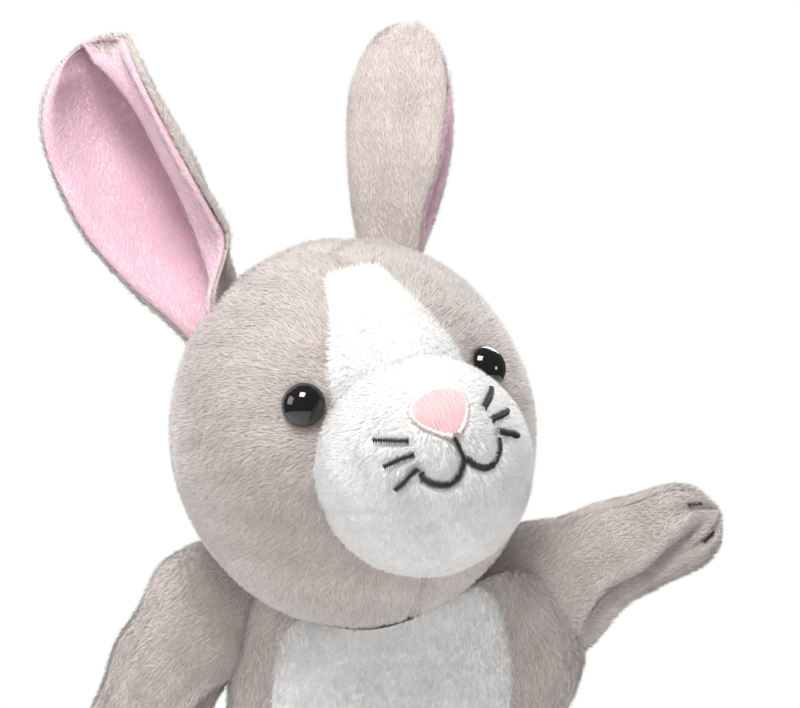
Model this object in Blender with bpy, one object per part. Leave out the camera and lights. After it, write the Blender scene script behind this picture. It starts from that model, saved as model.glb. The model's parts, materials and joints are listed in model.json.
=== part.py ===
"""Plush rabbit glove puppet, standing on its open hem.

Metres, +Z up. The puppet faces -Y, so its own left hand is on +X. The origin is the middle of the
hem's underside. The head is turned to the puppet's left and cocked to its right, the left arm is
raised and the right arm hangs.
"""

import math

import bpy
import numpy as np
from mathutils import Matrix, Vector

MM = 0.001
SEAM_GAP = 0.3 * MM
CLOTH = 2.5 * MM

# Head: an egg about a pole that leans forward, so the neck hole is low at the back.
HEAD_CENTRE = Vector((-10.5, -20.0, 181.0)) * MM
HEAD_YAW = math.radians(15.0)
HEAD_COCK = math.radians(12.6)
HEAD_SEMI = np.array((51.0, 46.0, 54.0)) * MM
POLE_LEAN = math.radians(20.0)
NECK_PIVOT_LOCAL = Vector((0.0, 7.0, -44.0)) * MM
SIDE_SEAM = math.radians(135.0)

# Forehead blaze: half width at angles above the head's tilted equator.
BLAZE_ANGLES = np.radians((16.0, 38.0, 60.0, 75.0))
BLAZE_RISES = np.radians((16.0, 24.0, 31.0, 38.0, 46.0, 53.0, 60.0, 66.0, 71.0, 75.0))
CHEEK_RISES = np.concatenate((np.radians((-56.0, -46.0, -36.0, -25.0, -12.0, 2.0, 15.6)), BLAZE_RISES,
                              np.radians((75.4, 80.0, 84.5, 88.6))))
BACK_RISES = np.radians(np.concatenate((np.linspace(-56.0, 79.0, 14), (84.5, 88.6))))
BLAZE_HALF_WIDTHS = np.array((20.0, 19.0, 12.0, 8.0)) * MM

MUZZLE_CENTRE = np.array((0.0, -45.0, -8.5)) * MM
MUZZLE_SEMI = np.array((29.0, 28.0, 29.0)) * MM
MUZZLE_WRAP = math.radians(105.0)

EYE_SPOTS = {"right": np.array((-26.8, -37.6, 14.8)) * MM, "left": np.array((28.4, -37.0, 12.0)) * MM}
EYE_RADIUS = 6.0 * MM
EYE_HEIGHT = 4.2 * MM
STEM_RADIUS = 2.0 * MM
STEM_LENGTH = 7.0 * MM

# The frame's zero is on the hem's flat underside, in the middle of its front edge.
# Every dimension below is measured from the glove's middle, which is this far behind it.
GLOVE_MIDDLE = Vector((0.0, 30.9 * MM, 0.0))

# Nose, mouth and whiskers are laid out by (x, z) on the front of the muzzle, rolled about one point.
FACE_ROLL = math.radians(8.0)
FACE_PIVOT = -2.0 * MM
NOSE_LEVELS = np.array((1.2, 4.2, 7.4, 10.2, 11.6)) * MM
NOSE_HALF_WIDTHS = np.array((1.6, 4.7, 7.2, 7.0, 4.8)) * MM
MOUTH_PATH = ((-12.2, -6.0), (-9.4, -9.4), (-5.8, -10.4), (-2.4, -9.0), (0.0, -6.2),
              (2.4, -9.0), (5.8, -10.4), (9.4, -9.4), (12.2, -6.0))
WHISKERS = (((11.4, 3.3), (18.2, 6.0)), ((11.8, -0.2), (19.0, -0.8)), ((12.4, -3.7), (18.8, -7.4)))
THREAD = 0.7 * MM

# Ears: leaf-shaped panels folded lengthwise, open outwards and forwards.
EAR_BASE = Vector((26.3, 11.0, 45.0)) * MM
EAR_TIPS = {"right": Vector((-45.0, 21.5, 121.0)) * MM, "left": Vector((54.0, 25.0, 108.0)) * MM}
EAR_OPENINGS = {"right": Vector((-0.85, -0.5, 0.0)), "left": Vector((0.97, -0.25, 0.0))}
EAR_HALF_WIDTHS = {"right": (10.0 * MM, 19.0 * MM), "left": (14.0 * MM, 8.0 * MM)}
EAR_DEPTHS = {"right": 35.0 * MM, "left": 30.0 * MM}
EAR_STEPS = np.array((0.0, 0.12, 0.28, 0.45, 0.62, 0.78, 0.90, 0.97, 1.0))
EAR_SHARES = np.array((0.50, 0.64, 0.84, 0.97, 1.0, 0.93, 0.74, 0.48, 0.24))
EAR_CLOTH = 2.2 * MM
EAR_HINGE_OUT = 1.5 * MM

FINGER_RADIUS = 9.5 * MM
FINGER_DEPTH = 56.0 * MM
NECK_COLLAR = np.array(((10.4, -13.0), (9.9, -6.0), (10.2, 1.6))) * MM

# Glove body: height, half width, half depth, centre x, centre y.
BODY_LEVELS = np.array((
    (0.0, 47.0, 35.0, 0.0, 0.0),
    (30.0, 45.5, 34.0, 0.0, 0.0),
    (60.0, 44.5, 33.0, 0.0, 0.0),
    (85.0, 43.0, 31.5, 0.0, 0.0),
    (95.0, 41.5, 31.0, 0.0, 0.5),
    (102.0, 39.3, 30.5, 0.0, 1.5),
    (108.0, 37.6, 29.8, 0.0, 2.0),
    (114.0, 36.6, 28.4, 0.0, 1.5),
    (118.0, 34.6, 26.0, 0.0, -1.0),
    (121.0, 28.0, 21.5, 0.0, -6.0),
    (122.5, 17.5, 16.0, 0.0, -12.0),
)) * MM
# Above the chest the body rises to the shoulders at its sides: start, full rise and amount.
SHOULDER_RISE = np.array((104.0, 119.0, 8.0)) * MM
TUMMY_LEVELS = np.array((30.0, 36.0, 48.0, 70.0, 98.0, 112.0, 122.5)) * MM
TUMMY_HALF_WIDTHS = np.array((2.0, 15.0, 25.0, 32.0, 34.0, 30.0, 8.0)) * MM
HEM_HEIGHT = 12.0 * MM

SHOULDER = Vector((40.0, 6.0, 130.0)) * MM
ARMHOLE_SWINGS = (-15.0, -2.0, 12.0, 25.0)
ARM_RADIUS = 13.0 * MM
ARM_CLOTH = 2.2 * MM
ARM_AIMS = {"right": Vector((-0.655, -0.12, -0.755)), "left": Vector((46.0, -6.0, 22.0))}
ARM_PROFILE = np.array((
    (-4.9, 12.0), (0.0, 13.0), (10.0, 12.6), (25.0, 12.8), (42.0, 14.0), (52.0, 13.0),
    (58.5, 9.6), (62.5, 5.4), (64.0, 0.8))) * MM

GREY = ((0.62, 0.57, 0.55), 0.95)
WHITE = ((0.90, 0.88, 0.87), 0.95)
PINK = ((0.86, 0.50, 0.62), 0.9)
NOSE_PINK = ((0.88, 0.58, 0.62), 0.6)
BLACK_THREAD = ((0.03, 0.026, 0.028), 0.55)
EYE_BLACK = ((0.012, 0.010, 0.011), 0.06)
LINING = ((0.80, 0.78, 0.76), 0.9)
STUFFING = ((0.93, 0.93, 0.92), 1.0)
WASHER = ((0.75, 0.74, 0.72), 0.5)


def clear_objects():
    for old in list(bpy.data.objects):
        bpy.data.objects.remove(old, do_unlink=True)


def principled(name, look):
    """One Principled material from a colour and a roughness."""
    colour, roughness = look
    material = bpy.data.materials.new(name)
    material.use_nodes = True
    shader = material.node_tree.nodes["Principled BSDF"]
    shader.inputs["Base Color"].default_value = (*colour, 1.0)
    shader.inputs["Roughness"].default_value = roughness
    shader.inputs["Metallic"].default_value = 0.0
    return material


def add_solid(name, points, faces, look, origin=(0.0, 0.0, 0.0)):
    """A mesh object from points about the glove's middle, set so that the hem's front edge is at zero."""
    origin = Vector(origin)
    mesh = bpy.data.meshes.new(name)
    mesh.from_pydata([Vector(p) - origin for p in points], [], [list(map(int, f)) for f in faces])
    mesh.update()
    mesh.shade_smooth()
    solid = bpy.data.objects.new(name, mesh)
    solid.location = origin + GLOVE_MIDDLE
    bpy.context.scene.collection.objects.link(solid)
    mesh.materials.append(principled(name + "_material", look))
    return solid


def grid_faces(rows, columns, first, closed):
    """Quads of a grid of points, closed round the columns if asked."""
    faces = []
    for i in range(rows - 1):
        for j in range(columns if closed else columns - 1):
            k = (j + 1) % columns
            faces.append((first + i * columns + j, first + i * columns + k,
                          first + (i + 1) * columns + k, first + (i + 1) * columns + j))
    return faces


def shell_faces(rows, columns, closed):
    """Faces of a closed wall between an outer and an inner grid of the same size."""
    count = rows * columns
    faces = grid_faces(rows, columns, 0, closed)
    faces += [tuple(reversed(f)) for f in grid_faces(rows, columns, count, closed)]
    steps = columns if closed else columns - 1
    for j in range(steps):
        k = (j + 1) % columns
        last = (rows - 1) * columns
        faces.append((j, j + count, k + count, k))
        faces.append((last + k, last + k + count, last + j + count, last + j))
    if not closed:
        for i in range(rows - 1):
            low, high = i * columns, (i + 1) * columns
            faces.append((low, high, high + count, low + count))
            low, high = low + columns - 1, high + columns - 1
            faces.append((high, low, low + count, high + count))
    return faces


def signed_volume(points, faces):
    """Six times the volume that the faces enclose, positive when they face outwards."""
    total = 0.0
    for face in faces:
        a = points[face[0]]
        for b, c in zip(face[1:-1], face[2:]):
            total += float(np.dot(a, np.cross(points[b], points[c])))
    return total


def add_shell(name, outer, inner, look, origin, closed=False):
    """A cloth panel with thickness, from its outer and inner grids of points."""
    rows, columns = outer.shape[:2]
    points = np.concatenate((outer.reshape(-1, 3), inner.reshape(-1, 3)))
    faces = shell_faces(rows, columns, closed)
    if signed_volume(points - points.mean(axis=0), faces) < 0:
        faces = [tuple(reversed(f)) for f in faces]
    return add_solid(name, points, faces, look, origin)


def add_loft(name, rings, look, origin):
    """A solid through a stack of rings, with a flat fan over each end."""
    rings = np.asarray(rings)
    count, sides = rings.shape[:2]
    points = np.concatenate((rings.reshape(-1, 3), rings[0].mean(axis=0)[None],
                             rings[-1].mean(axis=0)[None]))
    faces = grid_faces(count, sides, 0, True)
    for j in range(sides):
        k = (j + 1) % sides
        faces.append((count * sides, k, j))
        faces.append((count * sides + 1, (count - 1) * sides + j, (count - 1) * sides + k))
    if signed_volume(points - points.mean(axis=0), faces) < 0:
        faces = [tuple(reversed(f)) for f in faces]
    return add_solid(name, points, faces, look, origin)


def frame_of(axis, hint):
    """A rotation whose third column is the axis and whose first column leans to the hint."""
    axis = Vector(axis).normalized()
    first = (Vector(hint) - axis * Vector(hint).dot(axis)).normalized()
    return np.array(Matrix((first, axis.cross(first), axis)).transposed())


def add_turned(name, profile, spot, axis, look, origin, sides=20):
    """A solid of revolution from (radius, height) pairs, stood at a spot along an axis."""
    frame = frame_of(axis, (0.31, 0.2, 0.93) if abs(Vector(axis).normalized().z) < 0.9 else (1, 0, 0))
    turns = np.linspace(0.0, 2 * math.pi, sides, endpoint=False)
    rings = []
    for radius, height in profile:
        ring = np.stack((radius * np.cos(turns), radius * np.sin(turns),
                         np.full(sides, height)), axis=1)
        rings.append(ring @ frame.T + np.array(spot))
    return add_loft(name, rings, look, origin)


def add_tube(name, path, radius, look, origin, sides=6, loop=False):
    """A round thread along a path of points, ringed or with closed ends."""
    path = np.asarray(path, dtype=float)
    if loop:
        tangents = np.roll(path, -1, axis=0) - np.roll(path, 1, axis=0)
    else:
        tangents = np.gradient(path, axis=0)
    turns = np.linspace(0.0, 2 * math.pi, sides, endpoint=False)
    rings = []
    hint = Vector((0.13, -0.98, 0.11))
    for point, tangent in zip(path, tangents):
        frame = frame_of(tangent, hint)
        ring = radius * (np.outer(np.cos(turns), frame[:, 0]) + np.outer(np.sin(turns), frame[:, 1]))
        rings.append(point + ring)
    if not loop:
        return add_loft(name, rings, look, origin)
    rings = np.asarray(rings)
    count = len(rings)
    faces = []
    for i in range(count):
        n = (i + 1) % count
        for j in range(sides):
            k = (j + 1) % sides
            faces.append((i * sides + j, i * sides + k, n * sides + k, n * sides + j))
    points = rings.reshape(-1, 3)
    if signed_volume(points - points.mean(axis=0), faces) < 0:
        faces = [tuple(reversed(f)) for f in faces]
    return add_solid(name, points, faces, look, origin)


def cut(solid, cutter):
    """Take the cutter's volume out of the solid."""
    cutter.hide_render = True
    cutter.display_type = "WIRE"
    boolean = solid.modifiers.new("cut_" + cutter.name, "BOOLEAN")
    boolean.operation = "DIFFERENCE"
    boolean.solver = "EXACT"
    boolean.object = cutter


# ---------------------------------------------------------------- head frame

HEAD_TURN = Matrix.Rotation(-HEAD_COCK, 3, "Y") @ Matrix.Rotation(HEAD_YAW, 3, "Z")
NECK_PIVOT = HEAD_CENTRE + HEAD_TURN @ NECK_PIVOT_LOCAL


def to_world(points):
    """Points of the head's own frame, moved to where the cocked head holds them."""
    return np.asarray(points) @ np.array(HEAD_TURN).T + np.array(HEAD_CENTRE)


def head_points(turn, rise, inset=0.0):
    """Points of the head egg: turn from the face round the tilted pole, rise above its equator."""
    flat = np.stack((np.sin(turn) * np.cos(rise), -np.cos(turn) * np.cos(rise), np.sin(rise)), axis=-1)
    lean = np.array(Matrix.Rotation(POLE_LEAN, 3, "X"))
    return (flat @ lean.T) * (HEAD_SEMI - inset)


def head_panel(name, start, end, rises, look, columns=9):
    """A head panel between two seams, each given as a turn for every rise."""
    share = np.linspace(0.0, 1.0, columns)
    turns = start(rises)[:, None] * (1 - share) + end(rises)[:, None] * share
    lifts = np.repeat(rises[:, None], columns, axis=1)
    outer = to_world(head_points(turns, lifts))
    inner = to_world(head_points(turns, lifts, CLOTH))
    return add_shell(name, outer, inner, look, NECK_PIVOT)


def seam_turn(rise):
    """Half a seam gap as a turn, which widens towards the poles."""
    return 0.5 * SEAM_GAP / (HEAD_SEMI[0] * np.cos(rise))


def blaze_turn(rise):
    """Turn of the blaze's edge at each rise; nothing beyond its two ends."""
    half = np.interp(rise, BLAZE_ANGLES, BLAZE_HALF_WIDTHS)
    turn = np.arcsin(np.clip(half / (HEAD_SEMI[0] * np.cos(rise)), 0.0, 0.9))
    beyond = (rise > BLAZE_ANGLES[-1] + 1e-6) | (rise < BLAZE_ANGLES[0] - 1e-6)
    return np.where(beyond, 0.0, turn)


def muzzle_spot(x, z, lift=0.0):
    """The point of the muzzle's front at (x, z), lifted off its surface."""
    semi = MUZZLE_SEMI
    flat, high = np.asarray(x, dtype=float), np.asarray(z, dtype=float) - FACE_PIVOT
    x = flat * math.cos(FACE_ROLL) - high * math.sin(FACE_ROLL)
    z = flat * math.sin(FACE_ROLL) + high * math.cos(FACE_ROLL) + FACE_PIVOT
    across = x / semi[0]
    up = (z - MUZZLE_CENTRE[2]) / semi[2]
    forward = -np.sqrt(np.clip(1.0 - across ** 2 - up ** 2, 0.01, 1.0))
    unit = np.stack((across, forward, up), axis=-1)
    normal = unit / semi
    normal = normal / np.linalg.norm(normal, axis=-1, keepdims=True)
    return unit * semi + MUZZLE_CENTRE + normal * lift


def ellipsoid(name, centre, semi, look, origin, mover, rows=12, sides=24):
    """A whole egg as a solid."""
    rings = []
    for rise in np.linspace(-0.5 * math.pi + 0.09, 0.5 * math.pi - 0.09, rows):
        turns = np.linspace(0.0, 2 * math.pi, sides, endpoint=False)
        ring = np.stack((np.cos(turns) * math.cos(rise), np.sin(turns) * math.cos(rise),
                         np.full(sides, math.sin(rise))), axis=1) * semi + centre
        rings.append(mover(ring))
    return add_loft(name, rings, look, origin)


def build_head_shell():
    """Two side panels, a back panel and the white forehead blaze, open below at the back."""
    def right_inner(rise):
        return -np.maximum(blaze_turn(rise), 0.0) - seam_turn(rise)

    def left_inner(rise):
        return -right_inner(rise)

    def back_edge(rise):
        return SIDE_SEAM - seam_turn(rise)

    panels = [
        head_panel("head_panel_right", lambda r: -back_edge(r), right_inner, CHEEK_RISES, GREY, 11),
        head_panel("head_panel_left", left_inner, back_edge, CHEEK_RISES, GREY, 11),
    ]
    head_panel("head_back_panel", lambda r: SIDE_SEAM + seam_turn(r),
               lambda r: 2 * math.pi - SIDE_SEAM - seam_turn(r), BACK_RISES, GREY, 9)
    blaze = head_panel("forehead_blaze", lambda r: -blaze_turn(r) + seam_turn(r),
                       lambda r: blaze_turn(r) - seam_turn(r), BLAZE_RISES, WHITE, 5)
    hole = ellipsoid("cut_muzzle_hole", MUZZLE_CENTRE, MUZZLE_SEMI + 0.7 * MM, WHITE, NECK_PIVOT, to_world)
    for panel in (*panels, blaze):
        cut(panel, hole)
    return panels


def build_muzzle():
    """The white ball of the muzzle: a cover open at the back, and its filling."""
    sides, rows = 22, 9
    turns = np.linspace(0.0, 2 * math.pi, sides, endpoint=False)
    swings = np.linspace(math.radians(2.0), MUZZLE_WRAP, rows)
    unit = np.stack((np.outer(np.sin(swings), np.cos(turns)),
                     -np.repeat(np.cos(swings)[:, None], sides, axis=1),
                     np.outer(np.sin(swings), np.sin(turns))), axis=-1)
    outer = to_world((unit * MUZZLE_SEMI + MUZZLE_CENTRE).reshape(-1, 3)).reshape(rows, sides, 3)
    inner = to_world((unit * (MUZZLE_SEMI - CLOTH) + MUZZLE_CENTRE).reshape(-1, 3)).reshape(rows, sides, 3)
    add_shell("muzzle_cover", outer, inner, WHITE, NECK_PIVOT, closed=True)
    ellipsoid("muzzle_stuffing", MUZZLE_CENTRE, MUZZLE_SEMI - CLOTH - 0.8 * MM, STUFFING, NECK_PIVOT,
              to_world, 10, 20)


def build_head_stuffing():
    """The head's filling, hollowed for the muzzle and the finger, and flat at the neck."""
    stuffing = ellipsoid("head_stuffing", np.zeros(3), HEAD_SEMI - CLOTH - 1.2 * MM, STUFFING,
                         NECK_PIVOT, to_world, 14, 28)
    socket = ellipsoid("cut_muzzle_socket", MUZZLE_CENTRE, MUZZLE_SEMI + 0.6 * MM, STUFFING,
                       NECK_PIVOT, to_world)
    cut(stuffing, socket)
    up = HEAD_TURN @ Vector((0.0, 0.0, 1.0))
    bore = FINGER_RADIUS + 3.3 * MM
    cut(stuffing, add_turned("cut_finger_bore", ((bore, -12 * MM), (bore, FINGER_DEPTH + 2.8 * MM)),
                             NECK_PIVOT, up, STUFFING, NECK_PIVOT, 20))
    pole = HEAD_TURN @ Vector((0.0, math.sin(POLE_LEAN), -math.cos(POLE_LEAN)))
    spot = HEAD_CENTRE + pole * 44.0 * MM
    cut(stuffing, add_turned("cut_neck_flat", ((60 * MM, 0.0), (60 * MM, 20 * MM)), spot, pole,
                             STUFFING, NECK_PIVOT, 16))
    return stuffing


def build_finger_sleeve():
    """The lining tube that the index finger goes up, blind at the top."""
    up = HEAD_TURN @ Vector((0.0, 0.0, 1.0))
    wide, slim = FINGER_RADIUS + 2.0 * MM, FINGER_RADIUS
    top = FINGER_DEPTH
    profile = ((slim, 2 * MM), (wide, 2 * MM), (wide, 0.5 * top), (wide, top), (0.5 * MM, top + 2 * MM),
               (0.4 * MM, top), (slim - 1.5 * MM, top - 2 * MM), (slim, 0.5 * top))
    sides = 20
    frame = frame_of(up, (1, 0, 0))
    turns = np.linspace(0.0, 2 * math.pi, sides, endpoint=False)
    rings = np.array([np.stack((r * np.cos(turns), r * np.sin(turns), np.full(sides, h)), axis=1)
                      @ frame.T + np.array(NECK_PIVOT) for r, h in profile])
    points = rings.reshape(-1, 3)
    faces = []
    count = len(profile)
    for i in range(count):
        n = (i + 1) % count
        if i == 4:
            continue
        for j in range(sides):
            k = (j + 1) % sides
            faces.append((i * sides + j, i * sides + k, n * sides + k, n * sides + j))
    points = np.concatenate((points, rings[4].mean(axis=0)[None], rings[5].mean(axis=0)[None]))
    for j in range(sides):
        k = (j + 1) % sides
        faces.append((4 * sides + j, 4 * sides + k, len(points) - 2))
        faces.append((5 * sides + k, 5 * sides + j, len(points) - 1))
    if signed_volume(points - points.mean(axis=0), faces) < 0:
        faces = [tuple(reversed(f)) for f in faces]
    add_solid("finger_sleeve", points, faces, LINING, NECK_PIVOT)


def build_eye(side, panel, stuffing):
    """A domed safety eye on its stem, with the washer that locks it behind the cloth."""
    spot = EYE_SPOTS[side]
    local_normal = spot / HEAD_SEMI ** 2
    local_normal = local_normal / np.linalg.norm(local_normal)
    on_skin = spot / math.sqrt(float(np.sum((spot / HEAD_SEMI) ** 2)))
    centre = Vector(to_world(on_skin[None])[0])
    normal = HEAD_TURN @ Vector(local_normal)
    dome = ((STEM_RADIUS, -STEM_LENGTH), (STEM_RADIUS, 0.3 * MM), (EYE_RADIUS, 0.3 * MM),
            (0.97 * EYE_RADIUS, 0.3 * EYE_HEIGHT), (0.80 * EYE_RADIUS, 0.65 * EYE_HEIGHT),
            (0.48 * EYE_RADIUS, 0.9 * EYE_HEIGHT), (0.1 * EYE_RADIUS, EYE_HEIGHT))
    add_turned("eye_" + side, dome, centre, normal, EYE_BLACK, NECK_PIVOT, 20)
    sides = 16
    frame = frame_of(normal, (0.3, 0.1, 0.9))
    turns = np.linspace(0.0, 2 * math.pi, sides, endpoint=False)
    rings = np.array([np.stack((r * np.cos(turns), r * np.sin(turns), np.full(sides, h)), axis=1)
                      @ frame.T + np.array(centre)
                      for r, h in ((2.4 * MM, -3.3 * MM), (5.8 * MM, -3.3 * MM),
                                   (5.8 * MM, -4.8 * MM), (2.4 * MM, -4.8 * MM))])
    faces = []
    for i in range(4):
        n = (i + 1) % 4
        for j in range(sides):
            k = (j + 1) % sides
            faces.append((i * sides + j, i * sides + k, n * sides + k, n * sides + j))
    points = rings.reshape(-1, 3)
    if signed_volume(points - points.mean(axis=0), faces) < 0:
        faces = [tuple(reversed(f)) for f in faces]
    add_solid("eye_washer_" + side, points, faces, WASHER, NECK_PIVOT)
    cut(panel, add_turned("cut_stem_hole_" + side, ((2.4 * MM, -5 * MM), (2.4 * MM, 3 * MM)), centre,
                          normal, GREY, NECK_PIVOT, 12))
    cut(stuffing, add_turned("cut_washer_pocket_" + side, ((7.0 * MM, -8.5 * MM), (7.0 * MM, 4 * MM)),
                             centre, normal, GREY, NECK_PIVOT, 16))


def build_nose():
    """The satin-stitched nose pad with its raised border."""
    rows, columns = 9, 7
    levels = np.linspace(NOSE_LEVELS[0], NOSE_LEVELS[-1], rows)
    halves = np.interp(levels, NOSE_LEVELS, NOSE_HALF_WIDTHS) - 1.0 * MM
    share = np.linspace(-1.0, 1.0, columns)
    x = halves[:, None] * share[None]
    z = np.repeat(levels[:, None], columns, axis=1)
    outer = to_world(muzzle_spot(x, z, 1.6 * MM).reshape(-1, 3)).reshape(rows, columns, 3)
    inner = to_world(muzzle_spot(x, z, 0.4 * MM).reshape(-1, 3)).reshape(rows, columns, 3)
    add_shell("nose_pad", outer, inner, NOSE_PINK, NECK_PIVOT)
    levels = np.linspace(NOSE_LEVELS[0] - 1.3 * MM, NOSE_LEVELS[-1] + 1.3 * MM, 9)
    halves = np.interp(levels, NOSE_LEVELS, NOSE_HALF_WIDTHS) + 0.3 * MM
    halves[0] *= 0.6
    halves[-1] *= 0.72
    x = np.concatenate((halves, -halves[::-1]))
    z = np.concatenate((levels, levels[::-1]))
    path = to_world(muzzle_spot(x, z, 1.1 * MM))
    add_tube("nose_border", path, 0.6 * MM, NOSE_PINK, NECK_PIVOT, 6, loop=True)


def stitch_path(stops, steps):
    """A smooth run of points through (x, z) stops given in millimetres, lifted off the muzzle."""
    stops = np.array(stops) * MM
    share = np.linspace(0.0, len(stops) - 1.0, steps)
    x = np.interp(share, np.arange(len(stops)), stops[:, 0])
    z = np.interp(share, np.arange(len(stops)), stops[:, 1])
    return to_world(muzzle_spot(x, z, THREAD + SEAM_GAP))


def build_face_threads():
    """The stitched mouth, the line under the nose, and three whiskers a side."""
    add_tube("mouth_stitch", stitch_path(MOUTH_PATH, 17), THREAD, BLACK_THREAD, NECK_PIVOT)
    add_tube("philtrum_stitch", stitch_path(((0.0, -1.4), (0.0, -4.6)), 4), THREAD, BLACK_THREAD,
             NECK_PIVOT)
    for side, sign in (("right", -1.0), ("left", 1.0)):
        for number, (near, far) in enumerate(WHISKERS, start=1):
            stops = [(sign * x, z) for x, z in (near, far)]
            add_tube(f"whisker_{side}_{number}", stitch_path(stops, 5), THREAD, BLACK_THREAD, NECK_PIVOT)


# ---------------------------------------------------------------- ears

def ear_pivot(side, sign):
    """The fold line of the ear: where the open edge of its root meets the head."""
    base = Vector((sign * EAR_BASE.x, EAR_BASE.y, EAR_BASE.z))
    axis = (EAR_TIPS[side] - base).normalized()
    opening = EAR_OPENINGS[side].copy()
    opening = (opening - axis * opening.dot(axis)).normalized()
    spot = base + opening * (0.5 * EAR_DEPTHS[side] * EAR_SHARES[0] + EAR_HINGE_OUT)
    semi = HEAD_SEMI + 0.6 * MM
    reach = math.sqrt(float(np.sum((np.array(spot) / semi) ** 2)))
    return HEAD_CENTRE + HEAD_TURN @ (spot / reach)


def ear_grid(side, sign, inset, lift, share_width):
    """A folded leaf: half an oval across, widening and closing from the root to the tip."""
    base = Vector((sign * EAR_BASE.x, EAR_BASE.y, EAR_BASE.z))
    axis = (EAR_TIPS[side] - base)
    length = axis.length
    axis.normalize()
    opening = EAR_OPENINGS[side].copy()
    opening = (opening - axis * opening.dot(axis)).normalized()
    across = axis.cross(opening)
    swing = np.linspace(-0.5 * math.pi, 0.5 * math.pi, 11) * share_width
    share = EAR_SHARES[:, None]
    inset = inset * np.minimum(share / 0.6, 1.0)
    near, far = EAR_HALF_WIDTHS[side]
    wide = np.where(sign * swing < 0, near, far)[None]
    half = (wide * share - inset) * np.sin(swing)[None]
    deep = (EAR_DEPTHS[side] * share - inset) * np.cos(swing)[None]
    middle = np.array(base)[None, None] + np.array(opening) * (0.5 * EAR_DEPTHS[side] * share[..., None])
    flat = middle + half[..., None] * np.array(across) - deep[..., None] * np.array(opening)
    # Every line of the leaf starts on the head's surface and runs up to its own height.
    semi = HEAD_SEMI + lift
    start = flat[0]
    direction = np.array(axis)
    a = np.sum((direction / semi) ** 2)
    b = 2 * np.sum(start * direction / semi ** 2, axis=1)
    c = np.sum((start / semi) ** 2, axis=1) - 1.0
    rise = (-b + np.sqrt(np.maximum(b * b - 4 * a * c, 0.0))) / (2 * a)
    heights = rise[None] + EAR_STEPS[:, None] * (length - rise[None])
    return to_world((flat + heights[..., None] * direction).reshape(-1, 3)).reshape(flat.shape)


def build_ear(side, sign):
    """A grey outer leaf with a pink lining leaf nested in its fold."""
    pivot = ear_pivot(side, sign)
    lift = 0.6 * MM
    add_shell("ear_outer_" + side, ear_grid(side, sign, 0.0, lift, 1.0),
              ear_grid(side, sign, EAR_CLOTH, lift, 1.0), GREY, pivot)
    near = EAR_CLOTH + SEAM_GAP
    add_shell("ear_lining_" + side, ear_grid(side, sign, near, lift, 0.97),
              ear_grid(side, sign, near + 0.8 * EAR_CLOTH, lift, 0.97), PINK, pivot)


# ---------------------------------------------------------------- glove body

def body_points(turn, height):
    """Points of the glove: turn from the front, at a height above the hem."""
    levels = BODY_LEVELS
    half = np.interp(height, levels[:, 0], levels[:, 1])
    deep = np.interp(height, levels[:, 0], levels[:, 2])
    x = np.interp(height, levels[:, 0], levels[:, 3]) + half * np.sin(turn)
    y = np.interp(height, levels[:, 0], levels[:, 4]) - deep * np.cos(turn)
    start, full, amount = SHOULDER_RISE
    share = np.clip((height - start) / (full - start), 0.0, 1.0)
    return np.stack((x, y, height + amount * share * np.sin(turn) ** 2), axis=-1)


def body_inner(turn, height):
    """The cloth's inner face, square to the outer face but level at the hem."""
    step = 0.02
    rise = 0.4 * MM
    low = np.maximum(height - rise, 0.0)
    high = np.minimum(height + rise, BODY_LEVELS[-1, 0])
    across = body_points(turn + step, height) - body_points(turn - step, height)
    up = body_points(turn, high) - body_points(turn, low)
    normal = np.cross(across, up)
    normal = normal / np.linalg.norm(normal, axis=-1, keepdims=True)
    level = height < 0.5 * MM
    normal[..., 2] = np.where(level, 0.0, normal[..., 2])
    return body_points(turn, height) - CLOTH * normal


def body_panel(name, start, end, levels, look, columns=7):
    """A body panel between two seams, each given as a turn at every height."""
    share = np.linspace(0.0, 1.0, columns)
    turns = start(levels)[:, None] * (1 - share) + end(levels)[:, None] * share
    heights = np.repeat(levels[:, None], columns, axis=1)
    return add_shell(name, body_points(turns, heights), body_inner(turns, heights), look, (0, 0, 0))


def body_gap(height):
    """Half a seam gap as a turn round the body."""
    return 0.9 * SEAM_GAP / np.interp(height, BODY_LEVELS[:, 0], BODY_LEVELS[:, 2])


def tummy_turn(height):
    """Turn of the tummy patch's edge at each height; nothing below the patch."""
    half = np.interp(height, TUMMY_LEVELS, TUMMY_HALF_WIDTHS)
    wide = np.interp(height, BODY_LEVELS[:, 0], BODY_LEVELS[:, 1])
    turn = np.arcsin(np.clip(half / wide, 0.0, 0.95))
    return np.where(height < TUMMY_LEVELS[0], 0.0, turn)


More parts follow.
